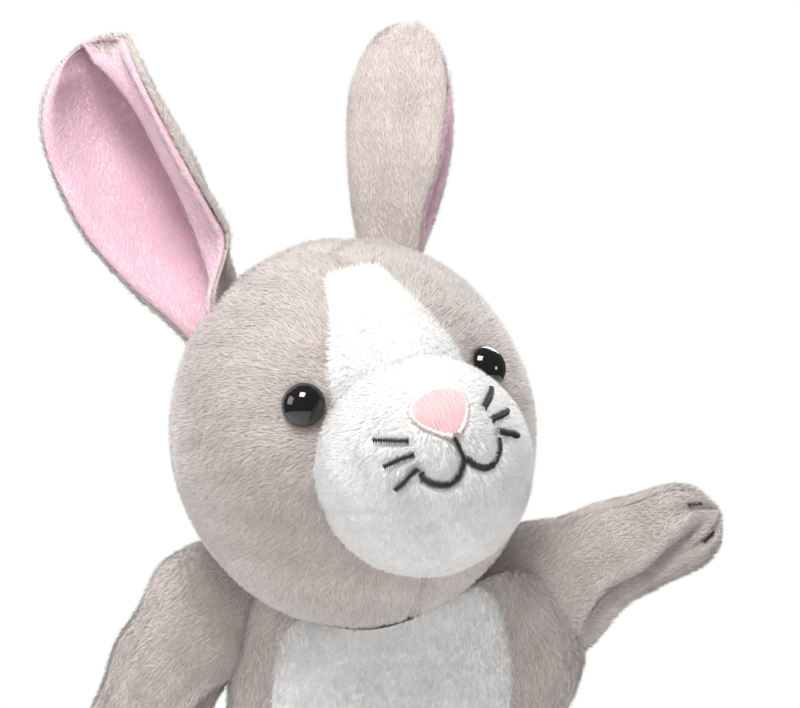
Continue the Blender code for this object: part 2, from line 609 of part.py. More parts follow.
def build_body():
    """White tummy patch, two front panels, two back panels and the turned-in hem."""
    levels = np.array((0.0, 12.0, 29.7, 30.0, 36.0, 48.0, 70.0, 85.0, 95.0, 102.0, 108.0, 114.0, 118.0,
                       121.0, 122.5)) * MM
    back = np.array((0.0, 20.0, 48.0, 75.0, 95.0, 102.0, 108.0, 114.0, 118.0, 121.0, 122.5)) * MM
    side = 0.5 * math.pi
    tummy_levels = levels[3:].copy()
    tummy_levels[0] += SEAM_GAP
    body_panel("tummy_patch", lambda h: -tummy_turn(h) + body_gap(h), lambda h: tummy_turn(h) - body_gap(h),
               tummy_levels, WHITE, 7)
    panels = [
        body_panel("body_front_right", lambda h: np.full_like(h, -side) + body_gap(h),
                   lambda h: -tummy_turn(h) - body_gap(h), levels, GREY, 7),
        body_panel("body_front_left", lambda h: tummy_turn(h) + body_gap(h),
                   lambda h: np.full_like(h, side) - body_gap(h), levels, GREY, 7),
        body_panel("body_back_left", lambda h: np.full_like(h, side) + body_gap(h),
                   lambda h: np.full_like(h, math.pi) - body_gap(h), back, GREY, 9),
        body_panel("body_back_right", lambda h: np.full_like(h, math.pi) + body_gap(h),
                   lambda h: np.full_like(h, 1.5 * math.pi) - body_gap(h), back, GREY, 9),
    ]
    for side_name, sign in (("right", -1.0), ("left", 1.0)):
        centre = np.array((sign * SHOULDER.x, SHOULDER.y, SHOULDER.z))
        hole = ellipsoid("cut_armhole_" + side_name, centre, np.full(3, ARM_RADIUS + 0.5 * MM), GREY,
                         (0, 0, 0), lambda p: p, 12, 20)
        cutters = [hole]
        hanging = Vector((-sign * ARM_AIMS["right"].x, ARM_AIMS["right"].y, ARM_AIMS["right"].z))
        for number, swing in enumerate(ARMHOLE_SWINGS):
            aim = Matrix.Rotation(-sign * math.radians(swing), 3, "Z") @ hanging
            wide = ARM_RADIUS + 0.6 * MM
            cutters.append(add_turned(f"cut_armhole_{side_name}_{number}", ((wide, 0.0), (wide, 34 * MM)),
                                      centre, aim, GREY, (0, 0, 0), 24))
        for panel in panels:
            if panel.name.endswith(side_name):
                for cutter in cutters:
                    cut(panel, cutter)
    build_hem()


def build_hem():
    """The hem allowance, turned up inside the glove as a ring with a level underside."""
    sides = 32
    turns = np.linspace(0.0, 2 * math.pi, sides, endpoint=False)
    heights = np.array((0.0, 0.5, 1.0)) * HEM_HEIGHT
    inset, thick = CLOTH + 0.5 * MM, 2.2 * MM
    outer, inner = [], []
    for height in heights:
        half = np.interp(height, BODY_LEVELS[:, 0], BODY_LEVELS[:, 1])
        deep = np.interp(height, BODY_LEVELS[:, 0], BODY_LEVELS[:, 2])
        for rings, gap in ((outer, inset), (inner, inset + thick)):
            rings.append(np.stack(((half - gap) * np.sin(turns), -(deep - gap) * np.cos(turns),
                                   np.full(sides, height)), axis=1))
    add_shell("hem_allowance", np.array(outer), np.array(inner), GREY, (0, 0, 0), closed=True)


def build_neck_collar():
    """The neck of the glove: a short cloth tube round the finger, sewn to the head above it."""
    up = HEAD_TURN @ Vector((0.0, 0.0, 1.0))
    frame = frame_of(up, (1, 0, 0))
    sides = 20
    turns = np.linspace(0.0, 2 * math.pi, sides, endpoint=False)
    walls = []
    for swell in (2.0 * MM, 0.0):
        walls.append(np.array([
            np.stack(((radius + swell) * np.cos(turns), (radius + swell) * np.sin(turns),
                      np.full(sides, height)), axis=1) @ frame.T + np.array(NECK_PIVOT)
            for radius, height in NECK_COLLAR]))
    add_shell("neck_collar", walls[0], walls[1], GREY, NECK_PIVOT, closed=True)


# ---------------------------------------------------------------- arms

def arm_frame(side):
    """Rotation from the arm's own frame, +Z along the sleeve and +X up, to the world."""
    return frame_of(ARM_AIMS[side], (0.0, 0.0, 1.0) if side == "left" else (-0.755, 0.0, 0.655))


def arm_points(side, sign, turn, along, inset=0.0):
    """Points of a sleeve at a turn round it and a distance along it."""
    radius = np.interp(along, ARM_PROFILE[:, 0], ARM_PROFILE[:, 1])
    radius = np.maximum(radius - inset, 0.25 * radius)
    pivot = np.array((sign * SHOULDER.x, SHOULDER.y, SHOULDER.z))
    local = np.stack((radius * np.cos(turn), radius * np.sin(turn), along), axis=-1)
    return local @ arm_frame(side).T + pivot


def build_arm(side, sign):
    """A sleeve of two halves seamed along the top and the underside, closed at the paw."""
    pivot = Vector((sign * SHOULDER.x, SHOULDER.y, SHOULDER.z))
    along = np.array((-4.9, 0.0, 10.0, 25.0, 36.0, 42.0, 52.0, 58.5, 62.5, 64.0)) * MM
    inner_along = np.concatenate((along[:-2], along[-2:] - np.array((1.4, 2.0)) * MM))
    front = frame_of(ARM_AIMS[side], (0, 0, 1))[:, 1][1] < 0
    for half, low, high in (("front" if front else "back", 0.0, math.pi),
                            ("back" if front else "front", math.pi, 2 * math.pi)):
        share = np.linspace(0.0, 1.0, 9)
        radius = np.interp(along, ARM_PROFILE[:, 0], ARM_PROFILE[:, 1])
        gap = 0.5 * SEAM_GAP / radius
        turns = (low + gap)[:, None] * (1 - share) + (high - gap)[:, None] * share
        outer = arm_points(side, sign, turns, np.repeat(along[:, None], 9, axis=1))
        inner = arm_points(side, sign, turns, np.repeat(inner_along[:, None], 9, axis=1), ARM_CLOTH)
        add_shell(f"arm_{side}_{half}", outer, inner, GREY, pivot)
    for number, turn_deg in ((1, -32.0), (2, 28.0)):
        build_toe(side, sign, number, math.radians(turn_deg), pivot)
    build_armhole_binding(side, sign, pivot)


def build_toe(side, sign, number, lean, pivot):
    """A short black stitch over the end of the paw that marks a toe."""
    middle = -0.5 * math.pi if arm_frame(side)[1, 1] > 0 else 0.5 * math.pi
    along = np.linspace(52.5, 59.5, 4) * MM
    path = arm_points(side, sign, np.full(4, middle + lean), along, -(THREAD + SEAM_GAP))
    add_tube(f"toe_stitch_{side}_{number}", path, THREAD, BLACK_THREAD, pivot)


def build_armhole_binding(side, sign, pivot):
    """The bound edge inside the armhole that the finger passes."""
    turns = np.linspace(0.0, 2 * math.pi, 16, endpoint=False)
    ring = np.stack((8.9 * MM * np.cos(turns), 8.9 * MM * np.sin(turns), np.full(16, -4.0 * MM)), axis=1)
    path = ring @ arm_frame(side).T + np.array(pivot)
    add_tube("armhole_binding_" + side, path, 0.7 * MM, LINING, pivot, 6, loop=True)


def main():
    clear_objects()
    panels = build_head_shell()
    build_muzzle()
    stuffing = build_head_stuffing()
    build_finger_sleeve()
    for side, sign, panel in (("right", -1.0, panels[0]), ("left", 1.0, panels[1])):
        build_eye(side, panel, stuffing)
        build_ear(side, sign)
    build_nose()
    build_face_threads()
    build_neck_collar()
    build_body()
    for side, sign in (("right", -1.0), ("left", 1.0)):
        build_arm(side, sign)
    print("neck pivot", [round(v * 1000, 2) for v in NECK_PIVOT])
    for side, sign in (("right", -1.0), ("left", 1.0)):
        print("ear pivot", side, [round(v * 1000, 2) for v in ear_pivot(side, sign)])


main()
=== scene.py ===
# %% [markdown]
# # A plush rabbit glove puppet
#
# The puppet is a stuffed head on an empty cloth glove. One hand goes in at the hem: the index finger
# goes up the sleeve in the head, and the thumb and middle finger work the two paws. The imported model
# gives every place and every moving body. These cells put the cloth, the pile, the stitching and the
# glass-bright eyes round it.

# %% Frame and units
import json
import math

import bpy
import numpy as np
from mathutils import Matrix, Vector


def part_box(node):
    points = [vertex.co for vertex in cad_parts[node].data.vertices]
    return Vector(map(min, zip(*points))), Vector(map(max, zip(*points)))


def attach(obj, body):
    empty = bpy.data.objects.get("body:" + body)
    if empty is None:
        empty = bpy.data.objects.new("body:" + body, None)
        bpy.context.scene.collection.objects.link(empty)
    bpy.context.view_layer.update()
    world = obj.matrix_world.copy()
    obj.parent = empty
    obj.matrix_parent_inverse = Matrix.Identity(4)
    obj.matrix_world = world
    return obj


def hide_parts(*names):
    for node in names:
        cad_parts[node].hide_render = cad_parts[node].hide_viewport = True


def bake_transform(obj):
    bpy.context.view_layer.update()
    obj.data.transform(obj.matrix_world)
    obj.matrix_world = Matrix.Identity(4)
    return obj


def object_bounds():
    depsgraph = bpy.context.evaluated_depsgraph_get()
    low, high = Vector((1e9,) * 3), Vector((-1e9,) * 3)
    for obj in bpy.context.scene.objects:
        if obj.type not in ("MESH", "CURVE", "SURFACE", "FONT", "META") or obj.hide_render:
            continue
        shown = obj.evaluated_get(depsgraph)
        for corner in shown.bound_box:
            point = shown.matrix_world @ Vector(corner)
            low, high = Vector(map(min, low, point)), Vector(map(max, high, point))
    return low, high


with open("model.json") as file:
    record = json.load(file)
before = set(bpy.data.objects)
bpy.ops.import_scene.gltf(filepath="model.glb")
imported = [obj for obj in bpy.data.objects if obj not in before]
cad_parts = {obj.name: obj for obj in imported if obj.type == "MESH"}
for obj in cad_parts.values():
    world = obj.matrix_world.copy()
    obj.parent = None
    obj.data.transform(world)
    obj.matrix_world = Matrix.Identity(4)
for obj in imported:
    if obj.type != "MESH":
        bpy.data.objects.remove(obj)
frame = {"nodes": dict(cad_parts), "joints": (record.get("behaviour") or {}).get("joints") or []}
cad_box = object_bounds()
MM = 0.001
SIDES = (("right", -1.0), ("left", 1.0))

# %% [markdown]
# ## Camera, floor and light
#
# The camera looks almost level, from a little to the puppet's right, through a long lens, as a studio
# does for a toy. Only head, ears, chest and paws are in its view. The floor is a plain pale disc. The
# light is one broad soft box high in front, a weaker one on each side, and an even pale surround, so
# the cloth keeps its shape without hard shadows.

# %% Camera
CAMERA_TURN = math.radians(-8.0)
CAMERA_RISE = math.radians(3.0)
CAMERA_REACH = 0.9
SENSOR = 36.0
VIEW_WIDTH = 0.2286
AIM_SIDE = 5.4 * MM
AIM_BELOW_TOP = 95.4 * MM
GLOVE_MIDDLE = np.array((0.0, 30.9 * MM, 0.0))  # the frame's zero is on the hem's front edge


def aim_rotation(direction):
    """The rotation that points a camera's or a lamp's -Z along a direction, with +Y up."""
    return Vector(direction).to_track_quat("-Z", "Y").to_euler()


look = np.array((math.sin(-CAMERA_TURN) * math.cos(CAMERA_RISE),
                 math.cos(CAMERA_TURN) * math.cos(CAMERA_RISE), -math.sin(CAMERA_RISE)))
side = np.array((math.cos(CAMERA_TURN), math.sin(CAMERA_TURN), 0.0))
aim = GLOVE_MIDDLE + side * AIM_SIDE + np.array((0.0, 0.0, cad_box[1].z - AIM_BELOW_TOP))
camera_data = bpy.data.cameras.new("view_camera")
camera_data.sensor_width = SENSOR
camera_data.lens = SENSOR * CAMERA_REACH / VIEW_WIDTH
camera = bpy.data.objects.new("view_camera", camera_data)
camera.location = aim - look * CAMERA_REACH
camera.rotation_euler = aim_rotation(look)
bpy.context.scene.collection.objects.link(camera)
bpy.context.scene.camera = camera
bpy.context.scene.view_settings.view_transform = "Standard"
print("lens", round(camera_data.lens, 1), "mm")

# %% Lights and surround
LAMPS = (
    ("soft_box_front", (-0.30, -0.60, 1.25), 0.50, 14.5),
    ("soft_box_right", (1.05, -0.65, 0.30), 0.25, 1.6),
    ("soft_box_left", (-1.1, -0.1, 0.6), 0.60, 3.5),
    ("soft_box_back", (0.45, 0.95, 0.9), 0.60, 7.0),
)
LAMP_AIM = np.array((0.0, 0.0, 0.17))
SURROUND = 0.50
MIRRORED = 0.12


def soft_box(name, place, size, power):
    """A square area lamp of one size in metres, turned to the middle of the puppet."""
    data = bpy.data.lights.new(name, "AREA")
    data.shape = "SQUARE"
    data.size = size
    data.energy = power
    data.color = (1.0, 0.985, 0.965)
    lamp = bpy.data.objects.new(name, data)
    lamp.location = GLOVE_MIDDLE + place
    lamp.rotation_euler = aim_rotation(LAMP_AIM - np.array(place))
    bpy.context.scene.collection.objects.link(lamp)


for name, place, size, power in LAMPS:
    soft_box(name, place, size, power)
world = bpy.data.worlds.new("pale_surround")
world.use_nodes = True
bpy.context.scene.world = world
surround = world.node_tree.nodes["Background"]
surround.inputs["Color"].default_value = (1.0, 1.0, 1.0, 1.0)
backdrop = world.node_tree.nodes.new("ShaderNodeBackground")
backdrop.inputs["Color"].default_value = (1.0, 1.0, 1.0, 1.0)
backdrop.inputs["Strength"].default_value = 1.0
seen = world.node_tree.nodes.new("ShaderNodeLightPath")
dimmer = world.node_tree.nodes.new("ShaderNodeMath")
dimmer.operation = "MULTIPLY_ADD"
dimmer.inputs[1].default_value = MIRRORED - SURROUND
dimmer.inputs[2].default_value = SURROUND
world.node_tree.links.new(seen.outputs["Is Glossy Ray"], dimmer.inputs[0])
world.node_tree.links.new(dimmer.outputs[0], surround.inputs["Strength"])
either = world.node_tree.nodes.new("ShaderNodeMixShader")
world.node_tree.links.new(seen.outputs["Is Camera Ray"], either.inputs[0])
world.node_tree.links.new(surround.outputs[0], either.inputs[1])
world.node_tree.links.new(backdrop.outputs[0], either.inputs[2])
world.node_tree.links.new(either.outputs[0], world.node_tree.nodes["World Output"].inputs["Surface"])
print("lamps", len(LAMPS))

# %% [markdown]
# ## Surfaces from grids
#
# Every new piece is a grid of points worked out at once with numpy: rows run along the piece, columns
# run round it. One builder turns such a grid into a mesh, joins it round or over where the piece is a
# tube or a ring, and closes its ends with a fan, so that each piece is one closed body. The volume's
# sign says whether the faces point out, and a grid that came out inside out is turned.


# %% Grid builder
def signed_volume(points, faces):
    """Six times the volume that the faces enclose, as a sum of corner products; negative if inward."""
    corners = np.array([(f[0], f[i], f[i + 1]) for f in faces for i in range(1, len(f) - 1)])
    a, b, c = (points[corners[:, i]] - points.mean(axis=0) for i in range(3))
    return float(np.sum(a * np.cross(b, c)))


def grid_mesh(name, grid, around=False, over=False, ends=(False, False)):
    """A mesh from a grid of points: four-sided faces between neighbours, and fans at closed ends."""
    rows, columns = grid.shape[:2]
    index = np.arange(rows * columns).reshape(rows, columns)
    low = index if over else index[:-1]
    high = np.roll(index, -1, axis=0) if over else index[1:]
    if around:
        loops = (low, np.roll(low, -1, axis=1), np.roll(high, -1, axis=1), high)
    else:
        loops = (low[:, :-1], low[:, 1:], high[:, 1:], high[:, :-1])
    faces = np.stack(loops, axis=-1).reshape(-1, 4).tolist()
    points = grid.reshape(-1, 3)
    for row, closed, flip in ((index[0], ends[0], True), (index[-1], ends[1], False)):
        if closed:
            points = np.concatenate((points, points[row].mean(axis=0)[None]))
            following = np.roll(row, -1)
            first, second = (following, row) if flip else (row, following)
            faces += np.stack((first, second, np.full(columns, len(points) - 1)), axis=1).tolist()
    if signed_volume(points, faces) < 0:
        faces = [face[::-1] for face in faces]
    mesh = bpy.data.meshes.new(name)
    mesh.from_pydata(points.tolist(), [], faces)
    mesh.polygons.foreach_set("use_smooth", [True] * len(mesh.polygons))
    piece = bpy.data.objects.new(name, mesh)
    bpy.context.scene.collection.objects.link(piece)
    return piece


def slab(name, outer, inner):
    """A closed pad between two grids: each row runs along the outer face and back along the inner."""
    return grid_mesh(name, np.concatenate((outer, inner[:, ::-1]), axis=1), around=True, ends=(True, True))


def tube_grid(path, facing, radius, sides=8):
    """Rings about a path: the ring's plane is square to the path, and facing is its upward side."""
    along = np.gradient(path, axis=0)
    along /= np.linalg.norm(along, axis=1, keepdims=True).clip(1e-12)
    side = np.cross(along, facing)
    side /= np.linalg.norm(side, axis=1, keepdims=True).clip(1e-12)
    up = np.cross(side, along)
    turn = np.linspace(0.0, 2 * math.pi, sides, endpoint=False)[None, :, None]
    radius = np.broadcast_to(np.asarray(radius, dtype=float), (len(path),))[:, None, None]
    return path[:, None] + radius * (np.cos(turn) * side[:, None] + np.sin(turn) * up[:, None])


def finish_mesh(piece, levels):
    """Subdivides a piece and keeps the result as its own mesh, so nothing stays live on it."""
    if levels:
        smooth = piece.modifiers.new("smooth", "SUBSURF")
        smooth.levels = smooth.render_levels = levels
    depsgraph = bpy.context.evaluated_depsgraph_get()
    final = bpy.data.meshes.new_from_object(piece.evaluated_get(depsgraph))
    piece.modifiers.clear()
    piece.data = final
    final.polygons.foreach_set("use_smooth", [True] * len(final.polygons))
    return piece


def points_of(piece):
    """The piece's vertices as rows of x, y, z."""
    flat = np.empty(3 * len(piece.data.vertices))
    piece.data.vertices.foreach_get("co", flat)
    return flat.reshape(-1, 3)


def normals_of(piece):
    """The piece's vertex normals as rows of x, y, z."""
    flat = np.empty(3 * len(piece.data.vertices))
    piece.data.vertex_normals.foreach_get("vector", flat)
    return flat.reshape(-1, 3)


def push(piece, amount):
    """Moves each vertex along its normal by its own amount in metres."""
    moved = points_of(piece) + normals_of(piece) * amount[:, None]
    piece.data.vertices.foreach_set("co", moved.ravel())
    piece.data.update()


def valley(distance, width, depth):
    """A groove's depth across it: the deepest at the middle, easing out as a bell curve."""
    return -depth * np.exp(-(distance / width) ** 2)


def ease(x, low, high):
    """Zero below low, one above high, with a smooth rise between."""
    share = np.clip((x - low) / (high - low), 0.0, 1.0)
    return share * share * (3 - 2 * share)


def curve(x, table, column=1):
    """A smooth curve through a table's rows: cubic pieces whose slopes follow their neighbours."""
    table = np.asarray(table, dtype=float)
    stops, values = table[:, 0], table[:, column]
    slopes = np.gradient(values, stops)
    place = np.clip(np.searchsorted(stops, x, side="right") - 1, 0, len(stops) - 2)
    span = stops[place + 1] - stops[place]
    t = np.clip((x - stops[place]) / span, 0.0, 1.0)
    return ((2 * t**3 - 3 * t**2 + 1) * values[place] + (t**3 - 2 * t**2 + t) * span * slopes[place]
            + (3 * t**2 - 2 * t**3) * values[place + 1] + (t**3 - t**2) * span * slopes[place + 1])


print("builders ready")

# %% [markdown]
# ## Plush cloth
#
# The cloth is a knitted ground with a short soft pile. Two things make it read as plush. The ground has
# a material whose colour and bump run in fine streaks along the lay of the pile. On it stand real
# fibres, each a slim closed spike about two millimetres long. Fibres lean the way the pile was brushed,
# the lean wanders across the cloth, and clumps of lighter and darker fibres give the soft mottling.
# The fibres take plain colours, since their shade changes by clump and not along one fibre.

# %% Nap shader group
def new_node(tree, kind, **inputs):
    """A shader node with values set on its sockets by name."""
    node = tree.nodes.new(kind)
    for socket, value in inputs.items():
        node.inputs[socket.replace("_", " ")].default_value = value
    return node


def nap_group():
    """Streaks of pile: noise stretched along the lay, mixed with broad brushed patches."""
    tree = bpy.data.node_groups.new("nap_streaks", "ShaderNodeTree")
    for label, kind, value in (("Light", "NodeSocketColor", (0.8, 0.8, 0.8, 1.0)),
                               ("Dark", "NodeSocketColor", (0.5, 0.5, 0.5, 1.0)),
                               ("Streak Scale", "NodeSocketFloat", 900.0),
                               ("Patch Scale", "NodeSocketFloat", 60.0)):
        socket = tree.interface.new_socket(label, in_out="INPUT", socket_type=kind)
        socket.default_value = value
    tree.interface.new_socket("Colour", in_out="OUTPUT", socket_type="NodeSocketColor")
    tree.interface.new_socket("Height", in_out="OUTPUT", socket_type="NodeSocketFloat")
    source, result = tree.nodes.new("NodeGroupInput"), tree.nodes.new("NodeGroupOutput")
    coordinates = tree.nodes.new("ShaderNodeTexCoord")
    stretch = new_node(tree, "ShaderNodeMapping", Scale=(1.0, 1.0, 0.3), Rotation=(0.35, 0.2, 0.0))
    streak = new_node(tree, "ShaderNodeTexNoise", Detail=3.0, Roughness=0.6, Distortion=0.8)
    patch = new_node(tree, "ShaderNodeTexNoise", Detail=2.0, Roughness=0.5)
    shade = tree.nodes.new("ShaderNodeMath")
    shade.operation = "MULTIPLY_ADD"
    shade.inputs[1].default_value = 0.55
    lift = tree.nodes.new("ShaderNodeMath")
    lift.operation = "MULTIPLY"
    lift.inputs[1].default_value = 0.45
    blend = tree.nodes.new("ShaderNodeMix")
    blend.data_type = "RGBA"
    link = tree.links.new
    link(coordinates.outputs["Object"], stretch.inputs["Vector"])
    link(stretch.outputs["Vector"], streak.inputs["Vector"])
    link(coordinates.outputs["Object"], patch.inputs["Vector"])
    link(source.outputs["Streak Scale"], streak.inputs["Scale"])
    link(source.outputs["Patch Scale"], patch.inputs["Scale"])
    link(patch.outputs["Fac"], lift.inputs[0])
    link(streak.outputs["Fac"], shade.inputs[0])
    link(lift.outputs[0], shade.inputs[2])
    link(shade.outputs[0], blend.inputs[0])
    link(source.outputs["Dark"], blend.inputs[6])
    link(source.outputs["Light"], blend.inputs[7])
    link(blend.outputs[2], result.inputs["Colour"])
    link(streak.outputs["Fac"], result.inputs["Height"])
    return tree


NAP = nap_group()
print("nap group", len(NAP.nodes), "nodes")


# %% Cloth and fibre materials
def shader_of(material):
    """The material's own Principled shader."""
    return next(n for n in material.node_tree.nodes if n.type == "BSDF_PRINCIPLED")


def plain(name, colour, roughness, **sockets):
    """A Principled material with its colour and finish set on the shader's own sockets."""
    material = bpy.data.materials.new(name)
    material.use_nodes = True
    shader = shader_of(material)
    shader.inputs["Base Color"].default_value = (*colour, 1.0)
    shader.inputs["Roughness"].default_value = roughness
    for socket, value in sockets.items():
        shader.inputs[socket.replace("_", " ")].default_value = value
    return material


def plush(name, light, dark, sheen=0.25):
    """Ground cloth under the pile: streaked colour, streaked bump and a soft sheen."""
    material = plain(name, light, 0.95, Sheen_Weight=sheen, Sheen_Roughness=0.5)
    tree, shader = material.node_tree, shader_of(material)
    nap = tree.nodes.new("ShaderNodeGroup")
    nap.node_tree = NAP
    nap.inputs["Light"].default_value = (*light, 1.0)
    nap.inputs["Dark"].default_value = (*dark, 1.0)
    bump = new_node(tree, "ShaderNodeBump", Strength=0.5, Distance=0.0006)
    tree.links.new(nap.outputs["Colour"], shader.inputs["Base Color"])
    tree.links.new(nap.outputs["Height"], bump.inputs["Height"])
    tree.links.new(bump.outputs["Normal"], shader.inputs["Normal"])
    return material


def fibres(name, colour, spread=0.10):
    """Three plain colours of one pile: middle, lighter and darker."""
    mixed = [tuple(min(c * k, 0.96) for c in colour) for k in (1.0, 1.0 + spread, 1.0 - spread)]
    return [plain(f"{name}_{shade}", c, 0.9, Sheen_Weight=0.5, Sheen_Roughness=0.4)
            for shade, c in zip(("mid", "light", "dark"), mixed)]


GREY, WHITE, PINK = (0.69, 0.62, 0.59), (0.95, 0.945, 0.94), (0.96, 0.74, 0.82)
# Each ground is given darker than the fibres that stand on it (the grey and pink much darker, the white a little):
# painted shade in the gaps between the fibres.
grey_cloth = plush("grey_plush", (0.60, 0.53, 0.50), (0.44, 0.375, 0.35))
white_cloth = plush("white_plush", (0.95, 0.945, 0.94), (0.88, 0.87, 0.865))
pink_cloth = plush("pink_plush", (0.95, 0.62, 0.73), (0.90, 0.50, 0.63))
grey_fibres = fibres("grey_pile", GREY)
white_fibres = fibres("white_pile", WHITE, 0.05)
pink_fibres = fibres("pink_pile", PINK, 0.08)
print("cloth materials ready")

# %% Pile builder
FIBRE_WIDTH = 0.13 * MM
LAY = math.radians(58.0)


def drift(points, scale, seed):
    """A smooth wandering value from -1 to 1: three crossed waves of about one scale in metres."""
    rng = np.random.default_rng(seed)
    total = np.zeros(len(points))
    for share in (1.0, 0.6, 0.45):
        heading = rng.normal(size=3)
        heading /= np.linalg.norm(heading)
        total += share * np.sin(points @ heading * (2 * math.pi / (scale * share)) + rng.uniform(0, 6.28))
    return total / 2.05


def roots_on(cloth, density, rng):
    """Random points on a mesh, even by area, with the normal blended from each face's corners."""
    mesh = cloth.data
    mesh.calc_loop_triangles()
    count = len(mesh.loop_triangles)
    corners, area = np.empty(3 * count, dtype=np.int32), np.empty(count)
    mesh.loop_triangles.foreach_get("vertices", corners)
    mesh.loop_triangles.foreach_get("area", area)
    corners = corners.reshape(-1, 3)
    pick = rng.choice(count, size=int(density * area.sum() / MM**2), p=area / area.sum())
    a, b = np.sqrt(rng.random(len(pick))), rng.random(len(pick))
    weights = np.stack((1 - a, a * (1 - b), a * b), axis=1)[..., None]
    spots = (points_of(cloth)[corners[pick]] * weights).sum(axis=1)
    normals = (normals_of(cloth)[corners[pick]] * weights).sum(axis=1)
    return spots, normals / np.linalg.norm(normals, axis=1, keepdims=True).clip(1e-9)


def pile(name, cloth, body, comb, materials, density=3.0, length=2.0 * MM, keep=None, seed=1):
    """Slim closed spikes rooted in the cloth: each leans from the normal towards the combed way."""
    rng = np.random.default_rng(seed)
    root, normal = roots_on(cloth, density, rng)
    if keep is not None:
        chosen = keep(root, normal)
        root, normal = root[chosen], normal[chosen]
    way = np.broadcast_to(comb(root) if callable(comb) else np.array(comb, dtype=float), root.shape)
    way = way - normal * np.sum(way * normal, axis=1, keepdims=True)
    way = way / np.linalg.norm(way, axis=1, keepdims=True).clip(1e-6)
    across = np.cross(normal, way)
    swing = 0.55 * drift(root, 0.022, seed) + rng.normal(scale=0.22, size=len(root))
    heading = np.cos(swing)[:, None] * way + np.sin(swing)[:, None] * across
    lay = LAY + 0.18 * drift(root, 0.014, seed + 5) + rng.normal(scale=0.14, size=len(root))
    reach = length * rng.uniform(0.75, 1.15, size=len(root))
    lean = np.sin(lay)[:, None] * heading + np.cos(lay)[:, None] * normal
    tip = root + reach[:, None] * lean
    square = np.cross(lean, normal)
    square /= np.linalg.norm(square, axis=1, keepdims=True)
    corners = np.array(((1.0, 0.0), (-1.0, 0.0), (0.0, -1.0)))[None, :, :, None] * FIBRE_WIDTH
    base = root[:, None] + corners[:, :, 0] * square[:, None] + corners[:, :, 1] * normal[:, None]
    points = np.concatenate((base, tip[:, None]), axis=1).reshape(-1, 3)
    first = 4 * np.arange(len(root))[:, None]
    spike = np.array(((1, 0, 3), (2, 1, 3), (0, 2, 3), (0, 1, 2)))
    faces = (first[:, :, None] + spike[None]).reshape(-1, 3)
    shine = normal + 0.20 * heading + rng.normal(scale=0.10, size=root.shape)
    shine /= np.linalg.norm(shine, axis=1, keepdims=True)
    mesh = bpy.data.meshes.new(name)
    mesh.vertices.add(len(points))
    mesh.vertices.foreach_set("co", points.ravel())
    mesh.loops.add(faces.size)
    mesh.loops.foreach_set("vertex_index", faces.ravel())
    mesh.polygons.add(len(faces))
    mesh.polygons.foreach_set("loop_start", 3 * np.arange(len(faces)))
    clump = (drift(root, 0.009, seed + 9) + 0.5 * drift(root, 0.03, seed + 3)
             + rng.normal(scale=0.5, size=len(root)))
    shade = np.where(clump > 0.55, 1, np.where(clump < -0.55, 2, 0))
    mesh.polygons.foreach_set("material_index", np.repeat(shade, 4))
    mesh.polygons.foreach_set("use_smooth", np.ones(len(faces), dtype=bool))
    for material in materials:
        mesh.materials.append(material)
    mesh.update(calc_edges=True)
    mesh.normals_split_custom_set_from_vertices(np.repeat(shine, 4, axis=0).tolist())
    piece = bpy.data.objects.new(name, mesh)
    bpy.context.scene.collection.objects.link(piece)
    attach(piece, body)
    print(name, len(root), "fibres")
    return piece


# %% [markdown]
# ## Head
#
# The head is an egg of plush panels round firm filling, wider than deep, turned to the puppet's left
# and cocked to its right. The head's own frame comes from the two neck joints and the direction from the
# neck to the middle of the muzzle, which is a ball on the head's mid-plane. The skin is one closed
# surface that dips into the finger tunnel at the neck. Seams are pulled in as grooves after the skin is
# shaped, and the cloth dips under each eye where the stem pulls it in.

# %% Head frame
JOINTS = {joint["name"]: joint for joint in frame["joints"]}


def middle(node):
    """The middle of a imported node's box."""
    low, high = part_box(node)
    return np.array((low + high) / 2)


NECK = np.array(JOINTS["head_nod"]["pos_m"], dtype=float)
HEAD_UP = np.array(JOINTS["head_turn"]["axis"], dtype=float)
MUZZLE_RADIUS = 28.5 * MM
muzzle_middle = middle("muzzle_cover")
muzzle_middle[1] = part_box("muzzle_cover")[0][1] + MUZZLE_RADIUS
facing = muzzle_middle - NECK
facing -= HEAD_UP * (facing @ HEAD_UP)
HEAD_LEFT = np.cross(HEAD_UP, facing / np.linalg.norm(facing))
HEAD_AXES = np.stack((HEAD_LEFT, np.cross(HEAD_UP, HEAD_LEFT), HEAD_UP), axis=1)
HEAD_CENTRE = NECK + HEAD_AXES @ (np.array((0.0, -7.0, 44.0)) * MM)
HEAD_SEMI = np.array((51.0, 46.0, 54.0)) * MM


def from_head(points):
    """Points of the head's frame, moved to where the cocked head holds them."""
    return np.asarray(points) @ HEAD_AXES.T + HEAD_CENTRE


def to_head(points):
    """Points of the puppet, in the head's own frame."""
    return (np.asarray(points) - HEAD_CENTRE) @ HEAD_AXES


print("head centre", (HEAD_CENTRE / MM).round(1), "left", HEAD_LEFT.round(3))

# %% Head coordinates: seams, blaze and muzzle
POLE_LEAN = math.radians(20.0)
NECK_LEAN = math.radians(8.75)
SIDE_SEAM = math.radians(135.0)
BLAZE = np.array(((16.0, 20.0), (38.0, 19.0), (60.0, 12.0), (75.0, 8.0)))
MUZZLE_CENTRE = np.array((0.0, -45.0, -8.5)) * MM
MUZZLE_SEMI = np.array((29.0, 28.0, 29.0)) * MM
EYE_SPOTS = {"right": np.array((-26.8, -37.6, 14.8)) * MM, "left": np.array((28.4, -37.0, 12.0)) * MM}


def lean_x(angle):
    """The matrix that leans an upright pole backwards about the head's left-right line."""
    c, s = math.cos(angle), math.sin(angle)
    return np.array(((1, 0, 0), (0, c, -s), (0, s, c)))


def sphere(turn, rise):
    """Directions by turn from the face and rise above the equator."""
    turn, rise = np.broadcast_arrays(turn, rise)
    return np.stack((np.sin(turn) * np.cos(rise), -np.cos(turn) * np.cos(rise), np.sin(rise)), axis=-1)


